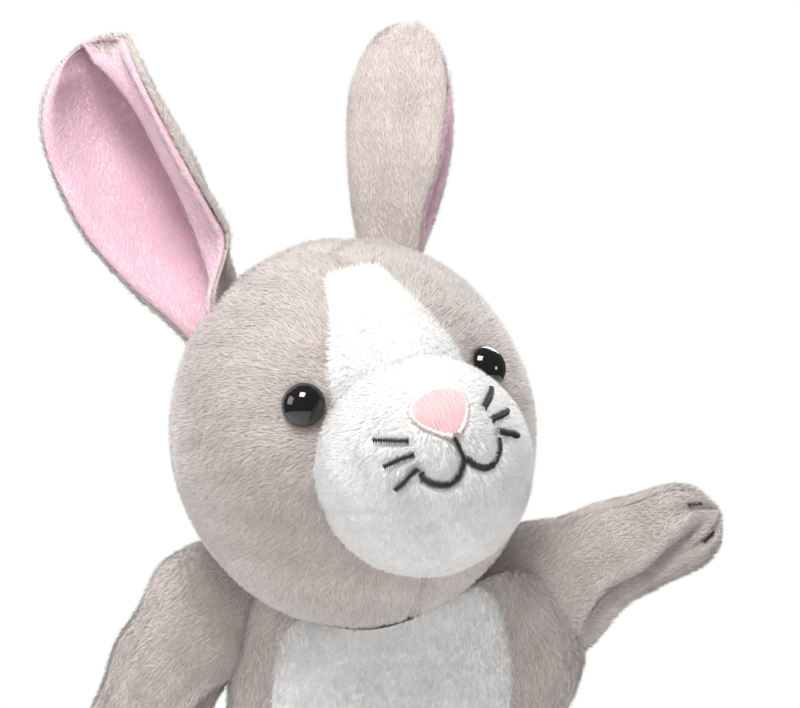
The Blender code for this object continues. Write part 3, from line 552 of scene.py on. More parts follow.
def head_turn_rise(local):
    """Turn and rise about the panels' leaning pole for points of the head's frame."""
    unit = local / HEAD_SEMI
    unit = unit / np.linalg.norm(unit, axis=-1, keepdims=True)
    unit = unit @ lean_x(POLE_LEAN)
    return np.arctan2(unit[..., 0], -unit[..., 1]), np.arcsin(np.clip(unit[..., 2], -1, 1))


def blaze_half(rise):
    """The blaze's half width in metres at a rise, and nothing beyond its two ends."""
    angle = np.degrees(rise)
    half = curve(angle, BLAZE) * MM
    return np.where((angle < BLAZE[0, 0]) | (angle > BLAZE[-1, 0] + 2.0), 0.0, half)


def skin_spot(local):
    """The point of the plain head egg straight out from the centre through a local point."""
    return local / np.linalg.norm(local / HEAD_SEMI, axis=-1, keepdims=True)


def seam_depth(local):
    """Grooves of the head: side seams, crown seam and chin seam, and a dip round each eye."""
    turn, rise = head_turn_rise(local)
    wide = HEAD_SEMI[0] * np.cos(rise)
    side_gap = wide * np.abs(np.abs(turn) - SIDE_SEAM)
    middle_gap = np.where((rise > math.radians(74)) | (rise < math.radians(-20)), wide * np.abs(turn), 1.0)
    blaze_gap = np.where(blaze_half(rise) > 0, np.abs(wide * np.abs(np.sin(turn)) - blaze_half(rise)), 1.0)
    depth = valley(np.minimum(side_gap, middle_gap), 1.5 * MM, 1.3 * MM)
    depth += valley(blaze_gap, 1.8 * MM, 0.7 * MM)
    for eye in EYE_SPOTS.values():
        away = np.linalg.norm(local - skin_spot(eye), axis=-1)
        depth += valley(away, 9.0 * MM, 2.0 * MM)
    return depth


# %% Head skin
TUNNEL_RADIUS = 12.2 * MM
TUNNEL_DEPTH = 58.0 * MM


def build_head():
    """The egg from crown to neck ring, then the tunnel's wall up to its blind top."""
    columns = 96
    turn = np.linspace(0.0, 2 * math.pi, columns, endpoint=False)[None]
    rise = np.radians(np.linspace(87.5, -75.0, 58))[:, None]
    skin = from_head((sphere(turn, rise) @ lean_x(NECK_LEAN).T) * HEAD_SEMI)
    height = np.array((0.0, 0.03, 0.12, 0.35, 0.6, 0.85, 0.97))[:, None] * TUNNEL_DEPTH
    wide = TUNNEL_RADIUS * np.array((1.0, 1.0, 1.0, 1.0, 1.0, 0.95, 0.6))[:, None]
    local = np.stack((wide * np.sin(turn), -wide * np.cos(turn), height + 0 * turn), axis=-1)
    tunnel = local @ HEAD_AXES.T + NECK - HEAD_UP * 5.0 * MM
    return grid_mesh("head_skin", np.concatenate((skin, tunnel)), around=True, ends=(True, True))


def cloth_puff(piece, pinned, pressure=4.0, cap=2.0 * MM, frames=16):
    """Blows a closed piece up as air in cloth would, holds the pinned points, and caps the movement."""
    before = points_of(piece)
    group = piece.vertex_groups.new(name="pins")
    for weight in np.unique(pinned.round(1)):
        if weight > 0:
            group.add(np.flatnonzero(pinned.round(1) == weight).tolist(), float(weight), "REPLACE")
    cloth = piece.modifiers.new("puff", "CLOTH")
    settings = cloth.settings
    settings.quality = 5
    settings.mass = 0.2
    settings.use_pressure = True
    settings.uniform_pressure_force = pressure
    settings.effector_weights.gravity = 0.0
    settings.vertex_group_mass = "pins"
    cloth.collision_settings.use_collision = False
    scene = bpy.context.scene
    for number in range(1, frames + 1):
        scene.frame_set(number)
    depsgraph = bpy.context.evaluated_depsgraph_get()
    blown = bpy.data.meshes.new_from_object(piece.evaluated_get(depsgraph))
    after = np.empty(3 * len(before))
    blown.vertices.foreach_get("co", after)
    move = after.reshape(-1, 3) - before
    far = np.linalg.norm(move, axis=1, keepdims=True)
    move *= np.minimum(1.0, cap / np.maximum(far, 1e-9))
    piece.modifiers.clear()
    piece.vertex_groups.clear()
    piece.data.vertices.foreach_set("co", (before + move).ravel())
    piece.data.update()
    bpy.data.meshes.remove(blown)
    scene.frame_set(1)
    print(piece.name, "puffed by up to", round(float(np.linalg.norm(move, axis=1).max() / MM), 2), "mm")


head_skin = build_head()
local = to_head(points_of(head_skin))
turn, rise = head_turn_rise(local)
seam_hold = np.exp(-(HEAD_SEMI[0] * np.cos(rise) * (np.abs(turn) - SIDE_SEAM) / (4 * MM)) ** 2)
inside = 1.0 - ease(np.linalg.norm(local / HEAD_SEMI, axis=1), 0.86, 0.98)
near_neck = 1.0 - ease(np.linalg.norm(points_of(head_skin) - NECK, axis=1), 16 * MM, 22 * MM)
cloth_puff(head_skin, np.clip(np.maximum.reduce((seam_hold, inside, near_neck)), 0, 1), cap=1.6 * MM)
finish_mesh(head_skin, 2)
local = to_head(points_of(head_skin))
on_skin = ease(np.linalg.norm(local / HEAD_SEMI, axis=1), 0.9, 0.97)
push(head_skin, on_skin * seam_depth(local))
head_skin.data.materials.append(grey_cloth)
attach(head_skin, "head")
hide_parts("head_panel_right", "head_panel_left", "head_back_panel", "head_stuffing")
print("head skin", len(head_skin.data.polygons), "faces")

# %% [markdown]
# ## Muzzle and blaze
#
# The muzzle is a stuffed ball of white plush let into the face. The mouth's stitches pull it in, so the
# two lips stand out as soft lobes. The blaze is a white panel from the muzzle to the crown. Its edges
# tuck into the seam.


# %% Muzzle ball
FACE_ROLL = math.radians(8.0)
FACE_PIVOT = -2.0 * MM


def rolled(x, z, angle):
    """The drawing's (x, z) turned about its pivot, since it is sewn on a little askew."""
    high = z - FACE_PIVOT
    return (x * math.cos(angle) - high * math.sin(angle),
            x * math.sin(angle) + high * math.cos(angle) + FACE_PIVOT)


def muzzle_spot(x, z, lift=0.0):
    """The point of the muzzle's front at the drawing's (x, z), lifted off its surface."""
    x, z = rolled(np.asarray(x, dtype=float), np.asarray(z, dtype=float), FACE_ROLL)
    across = x / MUZZLE_SEMI[0]
    up = (z - MUZZLE_CENTRE[2]) / MUZZLE_SEMI[2]
    unit = np.stack((across, -np.sqrt(np.clip(1 - across**2 - up**2, 0.01, 1.0)), up), axis=-1)
    normal = unit / MUZZLE_SEMI
    normal /= np.linalg.norm(normal, axis=-1, keepdims=True)
    return unit * MUZZLE_SEMI + MUZZLE_CENTRE + normal * np.asarray(lift)[..., None], normal


MOUTH = np.array(((-12.4, -5.2), (-11.6, -7.6), (-9.2, -9.8), (-5.8, -10.8), (-2.5, -9.2), (0.0, -6.2),
                  (2.5, -9.2), (5.8, -10.8), (9.2, -9.8), (11.6, -7.6), (12.4, -5.2)))
PHILTRUM = np.array(((-0.4, 0.0), (-0.2, -1.8), (-0.3, -4.0), (0.0, -6.2)))
WHISKERS = (((11.4, 3.3), (14.8, 4.6), (18.2, 6.0)), ((11.8, -0.2), (15.4, -0.4), (19.0, -0.8)),
            ((12.4, -3.7), (15.6, -5.5), (18.8, -7.4)))


def spread_along(stops, count):
    """Evenly counted points on the smooth curve through the stops, in metres."""
    stops = np.array(stops, dtype=float)
    steps = np.concatenate(((0.0,), np.cumsum(np.linalg.norm(np.diff(stops, axis=0), axis=1))))
    share = np.linspace(0.0, steps[-1], count)
    table = np.column_stack((steps, stops))
    return np.stack((curve(share, table, 1), curve(share, table, 2)), axis=1) * MM


def gap_to(points, path):
    """Distance from each head point to the nearest point of a drawn path, seen from in front."""
    flat = np.stack(rolled(points[:, 0], points[:, 2], -FACE_ROLL), axis=1)
    return np.sqrt(((flat[:, None] - path[None]) ** 2).sum(axis=2)).min(axis=1)


def build_muzzle():
    """A ball from its front pole to well behind the face, closed inside the head."""
    turn = np.linspace(0.0, 2 * math.pi, 88, endpoint=False)[None]
    swing = np.radians(np.linspace(1.5, 150.0, 56))[:, None]
    unit = np.stack((np.sin(swing) * np.cos(turn), -np.cos(swing) + 0 * turn, np.sin(swing) * np.sin(turn)),
                    axis=-1)
    return grid_mesh("muzzle_ball", from_head(unit * MUZZLE_SEMI + MUZZLE_CENTRE), around=True,
                     ends=(True, True))


muzzle = build_muzzle()
finish_mesh(muzzle, 1)
local = to_head(points_of(muzzle))
front = ease(-local[:, 1], 50 * MM, 60 * MM)
stitched = np.concatenate((spread_along(MOUTH, 60), spread_along(PHILTRUM, 24)))
dips = valley(gap_to(local, stitched), 2.4 * MM, 1.5 * MM) * front
lips = (np.exp(-((np.abs(local[:, 0]) - 7 * MM) / (7 * MM)) ** 2 - ((local[:, 2] + 5 * MM) / (6 * MM)) ** 2)
        * 1.0 * MM * front)
for sign in (-1.0, 1.0):
    for whisker in WHISKERS:
        path = spread_along(whisker, 16) * (sign, 1.0)
        dips += valley(gap_to(local, path), 1.4 * MM, 0.5 * MM) * front
dart = np.abs((local[:, 2] + 15 * MM) + 0.25 * (local[:, 0] + 22 * MM))
dart_fade = ease(-local[:, 0], 17 * MM, 22 * MM)
push(muzzle, dips + lips + valley(dart, 1.0 * MM, 0.7 * MM) * dart_fade)
muzzle.data.materials.append(white_cloth)
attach(muzzle, "head")
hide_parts("muzzle_cover", "muzzle_stuffing")
print("muzzle", len(muzzle.data.polygons), "faces")


# %% Blaze panel
def build_blaze():
    """A strip of the head egg between the blaze's edges, proud in the middle and tucked at its edges."""
    rise = np.radians(np.linspace(14.0, 76.5, 72))[:, None]
    share = np.linspace(-1.0, 1.0, 45)[None]
    half = curve(np.clip(np.degrees(rise), 16.0, 75.0), BLAZE) * MM
    half = half * np.sqrt(np.clip((76.6 - np.degrees(rise)) / 2.5, 0.02, 1.0))
    turn = np.arcsin(np.clip(half / (HEAD_SEMI[0] * np.cos(rise)), 0, 0.9)) * share
    crown = 1.0 - np.abs(share) ** 8 * 1.8
    local = (sphere(turn, rise + 0 * turn) @ lean_x(POLE_LEAN).T) * HEAD_SEMI
    normal = local / HEAD_SEMI**2
    normal /= np.linalg.norm(normal, axis=-1, keepdims=True)
    outer = local + normal * (0.9 * MM * crown + 0.9 * MM)[..., None]
    return slab("forehead_blaze_cloth", from_head(outer), from_head(local - normal * 1.6 * MM))


blaze = finish_mesh(build_blaze(), 1)
blaze.data.materials.append(white_cloth)
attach(blaze, "head")
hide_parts("forehead_blaze")
print("blaze", len(blaze.data.polygons), "faces")

# %% [markdown]
# ## Eyes
#
# Each eye is a moulded black dome on a stem, locked from behind with a washer. A turned profile gives
# the dome, its rolled rim and the flat back. The gloss does the rest: a clear coat over near-black.

# %% Eyes
EYE_PROFILE = np.array(((0.4, 4.35), (1.6, 4.2), (3.0, 3.65), (4.3, 2.75), (5.3, 1.65), (5.95, 0.5),
                        (6.05, -0.2),
                        (5.7, -0.7), (4.6, -0.9), (2.2, -1.0), (2.0, -4.5), (1.2, -5.0)))
eye_gloss = plain("eye_gloss", (0.010, 0.009, 0.010), 0.06, Coat_Weight=0.6, Coat_Roughness=0.02)


def build_eye(name, centre, normal):
    """The profile's radius and height turned about the eye's own axis."""
    axis = normal / np.linalg.norm(normal)
    first = np.cross(axis, HEAD_UP)
    first /= np.linalg.norm(first)
    second = np.cross(axis, first)
    turn = np.linspace(0.0, 2 * math.pi, 40, endpoint=False)[None, :, None]
    radius, height = (EYE_PROFILE[:, i][:, None, None] * MM for i in (0, 1))
    ring = np.cos(turn) * first + np.sin(turn) * second
    return grid_mesh(name, centre + radius * ring + height * axis, around=True, ends=(True, True))


for name, sign in SIDES:
    spot = skin_spot(EYE_SPOTS[name])
    eye = build_eye(f"glossy_eye_{name}", from_head(spot), HEAD_AXES @ (spot / HEAD_SEMI**2))
    finish_mesh(eye, 2)
    eye.data.materials.append(eye_gloss)
    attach(eye, "head")
    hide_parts(f"eye_{name}")
print("eyes ready")

# %% [markdown]
# ## Stitched nose, mouth and whiskers
#
# All of the face's drawing is machine satin stitch: one thread that crosses back and forth over a narrow
# line, so that the line has ragged edges and stands proud. The nose has upright threads side by side,
# with a paler bound edge round them. Each line is one tube along a zigzag that lies on the muzzle.

# %% Threads
black_thread = plain("black_thread", (0.022, 0.018, 0.020), 0.45, Sheen_Weight=0.3, Sheen_Roughness=0.4)
rose_thread = plain("rose_thread", (0.93, 0.60, 0.62), 0.38, Sheen_Weight=0.5, Sheen_Roughness=0.3)
pale_thread = plain("pale_rose_thread", (0.97, 0.84, 0.84), 0.38, Sheen_Weight=0.5, Sheen_Roughness=0.3)


def zigzag(path, width, pitch, seed, lean=0.35):
    """Crossings over a line: a point each pitch, on alternate sides, leaning along the line a little."""
    rng = np.random.default_rng(seed)
    steps = np.concatenate(((0.0,), np.cumsum(np.linalg.norm(np.diff(path, axis=0), axis=1))))
    count = int(steps[-1] / pitch)
    share = np.linspace(0.0, steps[-1], count)
    line = np.stack((np.interp(share, steps, path[:, 0]), np.interp(share, steps, path[:, 1])), axis=1)
    way = np.gradient(line, axis=0)
    way /= np.linalg.norm(way, axis=1, keepdims=True).clip(1e-12)
    square = np.stack((-way[:, 1], way[:, 0]), axis=1)
    swing = np.where(np.arange(count) % 2 == 0, 1.0, -1.0) * (1 + rng.normal(scale=0.14, size=count))
    return line + (square + lean * way) * (0.5 * width * swing)[:, None]


def satin(name, path, material, body, width=1.6 * MM, pitch=0.24 * MM, seed=3, thread=0.24 * MM,
          lift=0.15 * MM, place=muzzle_spot, frame_of=from_head):
    """A satin line: the zigzag with a raised point at the middle of each crossing, as one thin tube."""
    corners = zigzag(path, width, pitch, seed)
    halves = 0.5 * (corners[:-1] + corners[1:])
    flat = np.empty((2 * len(corners) - 1, 2))
    flat[0::2], flat[1::2] = corners, halves
    height = np.full(len(flat), lift - 0.1 * MM)
    height[1::2] = lift + 0.32 * MM
    spots, normals = place(flat[:, 0], flat[:, 1], height)
    world = frame_of(spots)
    facing = normals @ HEAD_AXES.T if frame_of is from_head else normals
    piece = grid_mesh(name, tube_grid(world, facing, thread, 6), around=True, ends=(True, True))
    piece.data.materials.append(material)
    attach(piece, body)
    return piece


def dipped_spot(x, z, lift=0.0):
    """A muzzle point over the stitched groove: the plain ball, lowered as the groove lowers it."""
    return muzzle_spot(x, z, np.asarray(lift) - 0.5 * MM)


def lined_spot(x, z, lift=0.0):
    """A muzzle point over a whisker's shallow groove."""
    return muzzle_spot(x, z, np.asarray(lift) + 0.1 * MM)


mouth = satin("mouth_satin", spread_along(MOUTH, 80), black_thread, "head", place=dipped_spot)
philtrum = satin("philtrum_satin", spread_along(PHILTRUM, 30), black_thread, "head", width=1.2 * MM,
                 place=dipped_spot, seed=5)
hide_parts("mouth_stitch")
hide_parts("philtrum_stitch")
for name, sign in SIDES:
    for number, whisker in enumerate(WHISKERS, start=1):
        path = spread_along(whisker, 20) * (sign, 1.0)
        stitch = satin(f"whisker_satin_{name}_{number}", path, black_thread, "head", width=1.5 * MM,
                       seed=10 + number, place=lined_spot, lift=0.6 * MM)
        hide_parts(f"whisker_{name}_{number}")
print("mouth and whiskers stitched")

# %% Nose
NOSE = np.array(((0.8, 0.9), (1.8, 2.8), (3.6, 4.9), (5.8, 6.7), (8.0, 7.4), (9.8, 6.7), (11.2, 4.6), (12.0, 1.4)))


def nose_half(z):
    """Half the nose's width at a height: narrow at the foot, widest near the top, rounded off."""
    return np.clip(curve(z / MM, NOSE), 0.6, 20.0) * MM


def nose_outline(grow, count=120):
    """The closed rim of the nose, grown outwards by an amount."""
    half_turn = np.linspace(0.0, 1.0, count // 2)
    z = (NOSE[0, 0] + (NOSE[-1, 0] - NOSE[0, 0]) * half_turn) * MM
    right = np.stack((nose_half(z), z), axis=1)
    left = np.stack((-nose_half(z[::-1]), z[::-1]), axis=1)
    rim = np.concatenate((right, left))
    middle_point = np.array((0.0, 7.4 * MM))
    ray = rim - middle_point
    return rim + grow * ray / np.linalg.norm(ray, axis=1, keepdims=True)


def build_nose_fill():
    """Upright threads: a sweep from side to side whose every pass goes from the rim's foot to its top."""
    columns = 44
    x = np.linspace(-7.1, 7.1, columns) * MM
    heights = np.linspace(NOSE[0, 0], NOSE[-1, 0], 400) * MM
    inside_rim = nose_half(heights)[None] >= np.abs(x)[:, None]
    low = np.array([heights[row][0] for row in inside_rim])
    top = np.array([heights[row][-1] for row in inside_rim])
    rng = np.random.default_rng(21)
    passes = np.linspace(0.0, 1.0, 9)[None]
    passes = np.where(np.arange(columns)[:, None] % 2 == 0, passes, 1 - passes)
    z = low[:, None] + (top - low)[:, None] * passes
    x = x[:, None] + 0.9 * MM * (passes - 0.5) + rng.normal(scale=0.05 * MM, size=z.shape)
    lift = 0.55 * MM + 0.4 * MM * np.sin(passes * math.pi) + rng.uniform(-0.1, 0.12, size=z.shape) * MM
    spots, normals = muzzle_spot(x.ravel(), z.ravel(), lift.ravel())
    grid = tube_grid(from_head(spots), normals @ HEAD_AXES.T, 0.19 * MM, 6)
    return grid_mesh("nose_satin", grid, around=True, ends=(True, True))


def build_nose_bed():
    """The padding under the nose's threads: a low dome inside the rim."""
    z = np.linspace(NOSE[0, 0], NOSE[-1, 0], 24)[:, None] * MM
    share = np.linspace(-1.0, 1.0, 21)[None]
    x, high = nose_half(z) * share, z + 0 * share
    fall = np.clip(1 - np.abs(share) ** 4, 0, 1) * np.sin(np.linspace(0.05, 0.95, 24) * math.pi)[:, None] ** 0.4
    outer, _ = muzzle_spot(x, high, 0.1 * MM + 0.55 * MM * fall)
    inner, _ = muzzle_spot(x, high, np.full(high.shape, -0.6 * MM))
    return slab("nose_bed", from_head(outer), from_head(inner))


nose_bed = build_nose_bed()
nose_bed.data.materials.append(rose_thread)
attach(nose_bed, "head")
nose_fill = build_nose_fill()
nose_fill.data.materials.append(rose_thread)
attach(nose_fill, "head")
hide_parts("nose_pad")
nose_rim = satin("nose_rim_satin", nose_outline(0.2 * MM), pale_thread, "head", width=1.5 * MM, pitch=0.24 * MM,
                 seed=8, lift=0.55 * MM)
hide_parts("nose_border")
print("nose stitched")

# %% [markdown]
# ## Ears
#
# Each ear is a long oval of grey plush lined with pink, folded lengthwise like a leaf and sewn into the
# head by its fold, so it opens outwards and forwards. The outer cloth and the lining are two closed
# pads, one nested in the other, and both roll over at the ear's edge.

# %% Ear surfaces
EAR_BASE = np.array((26.3, 11.0, 45.0)) * MM
EAR_TIPS = {"right": np.array((-45.0, 21.5, 121.0)) * MM, "left": np.array((54.0, 25.0, 108.0)) * MM}
EAR_OPENINGS = {"right": np.array((-0.85, -0.5, 0.0)), "left": np.array((0.97, -0.25, 0.0))}
EAR_HALF_WIDTHS = {"right": (10.0 * MM, 19.0 * MM), "left": (14.0 * MM, 8.0 * MM)}
EAR_DEPTHS = {"right": 35.0 * MM, "left": 30.0 * MM}
EAR_LIPS = {"right": 12.0 * MM, "left": 3.0 * MM}
EAR_LEAF = np.array(((0.0, 0.50), (0.12, 0.64), (0.28, 0.84), (0.45, 0.97), (0.62, 1.0), (1.0, 1.0)))
EAR_SHOULDER = 0.60
EAR_CLOTH = 2.4 * MM


def ear_grid(side, sign, inset, reach, rows=64, columns=45, sink=2.5 * MM):
    """A folded leaf: half an oval across, sized by the leaf's outline, whose front rim curls out."""
    base = EAR_BASE * (sign, 1, 1)
    axis = EAR_TIPS[side] - base
    length = np.linalg.norm(axis)
    axis = axis / length
    opening = EAR_OPENINGS[side]
    opening = opening - axis * (opening @ axis)
    opening /= np.linalg.norm(opening)
    across = np.cross(axis, opening)
    step = 1.0 - (1.0 - np.linspace(0.0, 1.0, rows)) ** 1.6
    beyond = np.clip((step - EAR_SHOULDER) / (1.0 - EAR_SHOULDER), 0.0, 1.0)
    share = (curve(step, EAR_LEAF) * np.sqrt(np.clip(1.0 - beyond**2.3, 0.004, 1.0)))[:, None]
    inset = inset * np.minimum(share / 0.6, 1.0)
    swing = -sign * np.linspace(-0.5 * math.pi, 0.5 * math.pi, columns)[None] * reach
    near, far = EAR_HALF_WIDTHS[side]
    wide = np.where(sign * swing < 0, near, far)
    half = (wide * share - inset) * np.sin(swing)
    deep = (EAR_DEPTHS[side] * share - inset) * np.cos(swing)
    curl = ease(-sign * swing, math.radians(42.0), math.radians(92.0)) ** 1.5
    lip = EAR_LIPS[side] * np.minimum(share / 0.5, 1.0) * ease(step, 0.02, 0.25)[:, None]
    half = half - sign * curl * lip * 0.75
    deep = deep + curl * lip
    middle_line = base + opening * (0.5 * EAR_DEPTHS[side] * share[..., None])
    flat = middle_line + half[..., None] * across - deep[..., None] * opening
    semi = HEAD_SEMI - sink
    a = np.sum((axis / semi) ** 2)
    b = 2 * np.sum(flat[0] * axis / semi**2, axis=1)
    c = np.sum((flat[0] / semi) ** 2, axis=1) - 1.0
    start = (-b + np.sqrt(np.maximum(b * b - 4 * a * c, 0.0))) / (2 * a)
    height = start[None] + step[:, None] * (length - start[None])
    return from_head(flat + height[..., None] * axis)


ears = []
for name, sign in SIDES:
    outer = slab(f"ear_cloth_{name}", ear_grid(name, sign, 0.0, 1.0), ear_grid(name, sign, EAR_CLOTH, 1.0))
    lining = slab(f"ear_pink_{name}", ear_grid(name, sign, EAR_CLOTH * 0.95, 1.03),
                  ear_grid(name, sign, 2.1 * EAR_CLOTH, 1.0))
    for piece, cloth, node in ((outer, grey_cloth, "outer"), (lining, pink_cloth, "lining")):
        finish_mesh(piece, 1)
        wave = drift(points_of(piece), 0.035, 31) * 0.5 * MM
        root_hold = ease(to_head(points_of(piece))[:, 2], 50 * MM, 70 * MM)
        push(piece, wave * root_hold)
        piece.data.materials.append(cloth)
        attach(piece, f"ear_{name}")
        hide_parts(f"ear_{node}_{name}")
    ears.append((name, outer, lining))
print("ears", [len(outer.data.polygons) for _, outer, _ in ears])

# %% [markdown]
# ## Glove body
#
# The body is an empty cloth bell, open at the hem and drawn in at the neck, where it goes up into the
# head round the finger. It is a thin closed wall: the outer face goes up and the inner face comes back
# down. Broad folds fall from the shoulders and grow towards the hem. The white tummy is a panel on its
# own.

# %% Body surface
BODY = np.array((
    (0.0, 47.0, 35.0, 0.0, 0.0), (30.0, 45.5, 34.0, 0.0, 0.0), (60.0, 44.5, 33.0, 0.0, 0.0),
    (85.0, 44.0, 32.0, 0.0, 0.0), (97.0, 43.5, 31.5, 0.0, 0.5), (107.0, 42.5, 30.5, 0.0, 1.0),
    (115.0, 40.0, 28.6, 0.0, 0.0), (120.5, 35.0, 25.6, 0.0, -2.5), (124.0, 26.0, 20.0, -1.0, -8.0),
    (126.5, 15.5, 14.0, -2.0, -12.0), (130.0, 12.0, 11.8, -2.2, -12.8), (134.0, 11.6, 11.4, -2.4, -13.0),
    (141.0, 11.4, 11.2, -3.4, -13.2)))
SIDE_SWAG = 20.0 * MM
CHIN_RISE = 10.0 * MM
CHIN_TURN = 0.55
CHIN_SPREAD = 0.85
SWAG_LEVEL, SWAG_HEIGHT = 108.0, 14.0
SWAG_TURN, SWAG_SPREAD = 1.75, 0.55
SHOULDER_RISE = np.array((98.0, 118.0, 16.0)) * MM
TUMMY = np.array(((30.0, 2.0), (36.0, 15.0), (48.0, 25.0), (70.0, 32.0), (98.0, 34.5), (108.0, 33.5),
                  (116.0, 30.0), (121.0, 24.0), (124.5, 14.0)))
WALL = 1.6 * MM


def body_grid(turn, height, out=0.0):
    """The bell: an oval whose size follows the height, raised at the shoulders and under the chin.

    Its cloth hangs in sine folds that grow towards the hem, and swags out below the lifted arm.
    """
    level = height / MM
    half, deep, mid_x, mid_y = (curve(level, BODY, i) * MM for i in (1, 2, 3, 4))
    fade = 1.0 - ease(level, 96.0, 120.0)
    grow = fade * (0.35 + 0.65 * (1.0 - level / 120.0))
    fold = (np.sin(5 * turn + 0.6 + level / 55.0) + 0.6 * np.sin(9 * turn - 1.1 - level / 40.0)) * 1.3 * MM
    chest = 0.9 * MM * ease(level, 84.0, 100.0) * (1.0 - ease(level, 112.0, 121.0))
    crease = chest * np.sin(7 * turn + level / 9.0) * np.abs(np.sin(turn)) ** 2
    under_arm = np.exp(-(((level - SWAG_LEVEL) / SWAG_HEIGHT) ** 2) - ((turn - SWAG_TURN) / SWAG_SPREAD) ** 2)
    proud = grow * fold + crease + out + SIDE_SWAG * under_arm
    x = mid_x + (half + proud) * np.sin(turn)
    y = mid_y - (deep + proud) * np.cos(turn)
    start, full, amount = SHOULDER_RISE
    neck_fade = 1.0 - ease(level, 121.0, 127.0)
    rise = amount * ease(height, start, full) * np.sin(turn) ** 2 * neck_fade
    under_chin = np.exp(-((np.angle(np.exp(1j * (turn - CHIN_TURN))) / CHIN_SPREAD) ** 2))
    rise = rise + CHIN_RISE * ease(level, 98.0, 120.0) * under_chin * neck_fade
    return np.stack((x, y, height + rise), axis=-1) + GLOVE_MIDDLE


def build_body():
    """Up the outer face from the hem to the neck, and down the inner face, as one closed wall."""
    turn = np.linspace(0.0, 2 * math.pi, 144, endpoint=False)[None]
    level = np.concatenate((np.linspace(0.0, 98.0, 36), np.linspace(100.5, 124.0, 20),
                            np.linspace(126.0, 141.0, 7)))[:, None] * MM
    outer = body_grid(turn, level + 0 * turn)
    inner = body_grid(turn, level + 0 * turn, -WALL)
    inner[..., 2] = np.where(level > 100 * MM, inner[..., 2] - WALL, inner[..., 2])
    return grid_mesh("glove_cloth", np.concatenate((outer, inner[::-1])), around=True, over=True)


glove = finish_mesh(build_body(), 1)
places = points_of(glove) - GLOVE_MIDDLE
turn = np.arctan2(places[:, 0], -(places[:, 1]))
side_gap = np.abs(np.abs(turn) - 0.5 * math.pi) * 45 * MM
back_gap = np.abs(np.abs(turn) - math.pi) * 33 * MM
below_chest = 1.0 - ease(places[:, 2], 104 * MM, 118 * MM)
push(glove, valley(np.minimum(side_gap, back_gap), 1.6 * MM, 1.0 * MM) * below_chest)
glove.data.materials.append(grey_cloth)
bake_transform(glove)
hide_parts("body_front_right", "body_front_left", "body_back_left", "body_back_right", "neck_collar")
print("glove", len(glove.data.polygons), "faces")


# %% Tummy panel
def build_tummy():
    """A strip of the bell inside the tummy's outline, proud of the grey cloth, with tucked edges."""
    rows, columns = 64, 49
    level = np.linspace(31.0, 124.0, rows)[:, None] * MM
    share = np.linspace(-1.0, 1.0, columns)[None]
    half = np.clip(curve(level / MM, TUMMY), 1.0, 60.0) * MM
    wide = curve(level / MM, BODY) * MM
    turn = np.arcsin(np.clip(half / wide, 0.0, 0.93)) * share
    edge = np.abs(share) ** 10 * 1.2 * MM
    outer = body_grid(turn, level + 0 * turn, 1.0 * MM - edge)
    inner = body_grid(turn, level + 0 * turn, -0.4 * MM)
    return slab("tummy_cloth", outer, inner)


tummy = finish_mesh(build_tummy(), 1)
tummy.data.materials.append(white_cloth)
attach(tummy, "glove")
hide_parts("tummy_patch")


# %% Turned hem
def build_hem():
    """A band inside the hem, rolled at its upper edge, and the row of stitches that holds it."""
    turn = np.linspace(0.0, 2 * math.pi, 144, endpoint=False)[None]
    level = np.linspace(0.4, 12.0, 8)[:, None] * MM
    outer = body_grid(turn, level + 0 * turn, -WALL - 0.2 * MM)
    inner = body_grid(turn, level + 0 * turn, -WALL - 1.5 * MM)
    return grid_mesh("hem_turn_up", np.concatenate((outer, inner[::-1])), around=True, over=True)


def build_hem_stitches():
    """Short running stitches round the hem: small pads along a level line of the bell."""
    count = 96
    turn = np.linspace(0.0, 2 * math.pi, count, endpoint=False)
    step = np.linspace(-0.5, 0.5, 5)[None] * 1.7 * MM / (42 * MM)
    path_turn = turn[:, None] + step
    lift = 0.35 * MM - 0.5 * MM * (np.abs(step) / step.max()) ** 2 + 0 * path_turn
    path = body_grid(path_turn, np.full(path_turn.shape, 9.5 * MM), lift)
    facing = np.stack((np.sin(path_turn), -np.cos(path_turn), 0 * path_turn), axis=-1)
    points, faces = [], []
    for i in range(count):
        ring = tube_grid(path[i], facing[i], 0.22 * MM, 5)
        base = i * 25
        points.append(ring.reshape(-1, 3))
        for r in range(4):
            faces += [(base + 5 * r + k, base + 5 * r + (k + 1) % 5, base + 5 * r + 5 + (k + 1) % 5,
                       base + 5 * r + 5 + k) for k in range(5)]
        faces += [tuple(base + k for k in reversed(range(5))), tuple(base + 20 + k for k in range(5))]
    points = np.concatenate(points)
    if signed_volume(points[:25], faces[:22]) < 0:
        faces = [face[::-1] for face in faces]
    mesh = bpy.data.meshes.new("hem_stitches")
    mesh.from_pydata(points.tolist(), [], faces)
    mesh.polygons.foreach_set("use_smooth", [True] * len(mesh.polygons))
    piece = bpy.data.objects.new("hem_stitches", mesh)
    bpy.context.scene.collection.objects.link(piece)
    return piece


hem = finish_mesh(build_hem(), 1)
hem.data.materials.append(grey_cloth)
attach(hem, "glove")
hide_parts("hem_allowance")
grey_thread = plain("grey_thread", (0.46, 0.40, 0.38), 0.6, Sheen_Weight=0.3)
hem_stitches = build_hem_stitches()
hem_stitches.data.materials.append(grey_thread)
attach(hem_stitches, "glove")
print("hem ready")

# %% [markdown]
# ## Arms
#
# Each arm is a loose plush sleeve, seamed along its top and underside and closed at a rounded paw. It is
# tall at the shoulder, where the cloth of the glove is gathered into it, and slimmer at the wrist. It
# starts as a ball inside the armhole, so that it turns there without tearing. Loose cloth makes
# wrinkles across the sleeve, and two creases pinched in with black thread mark the toes.

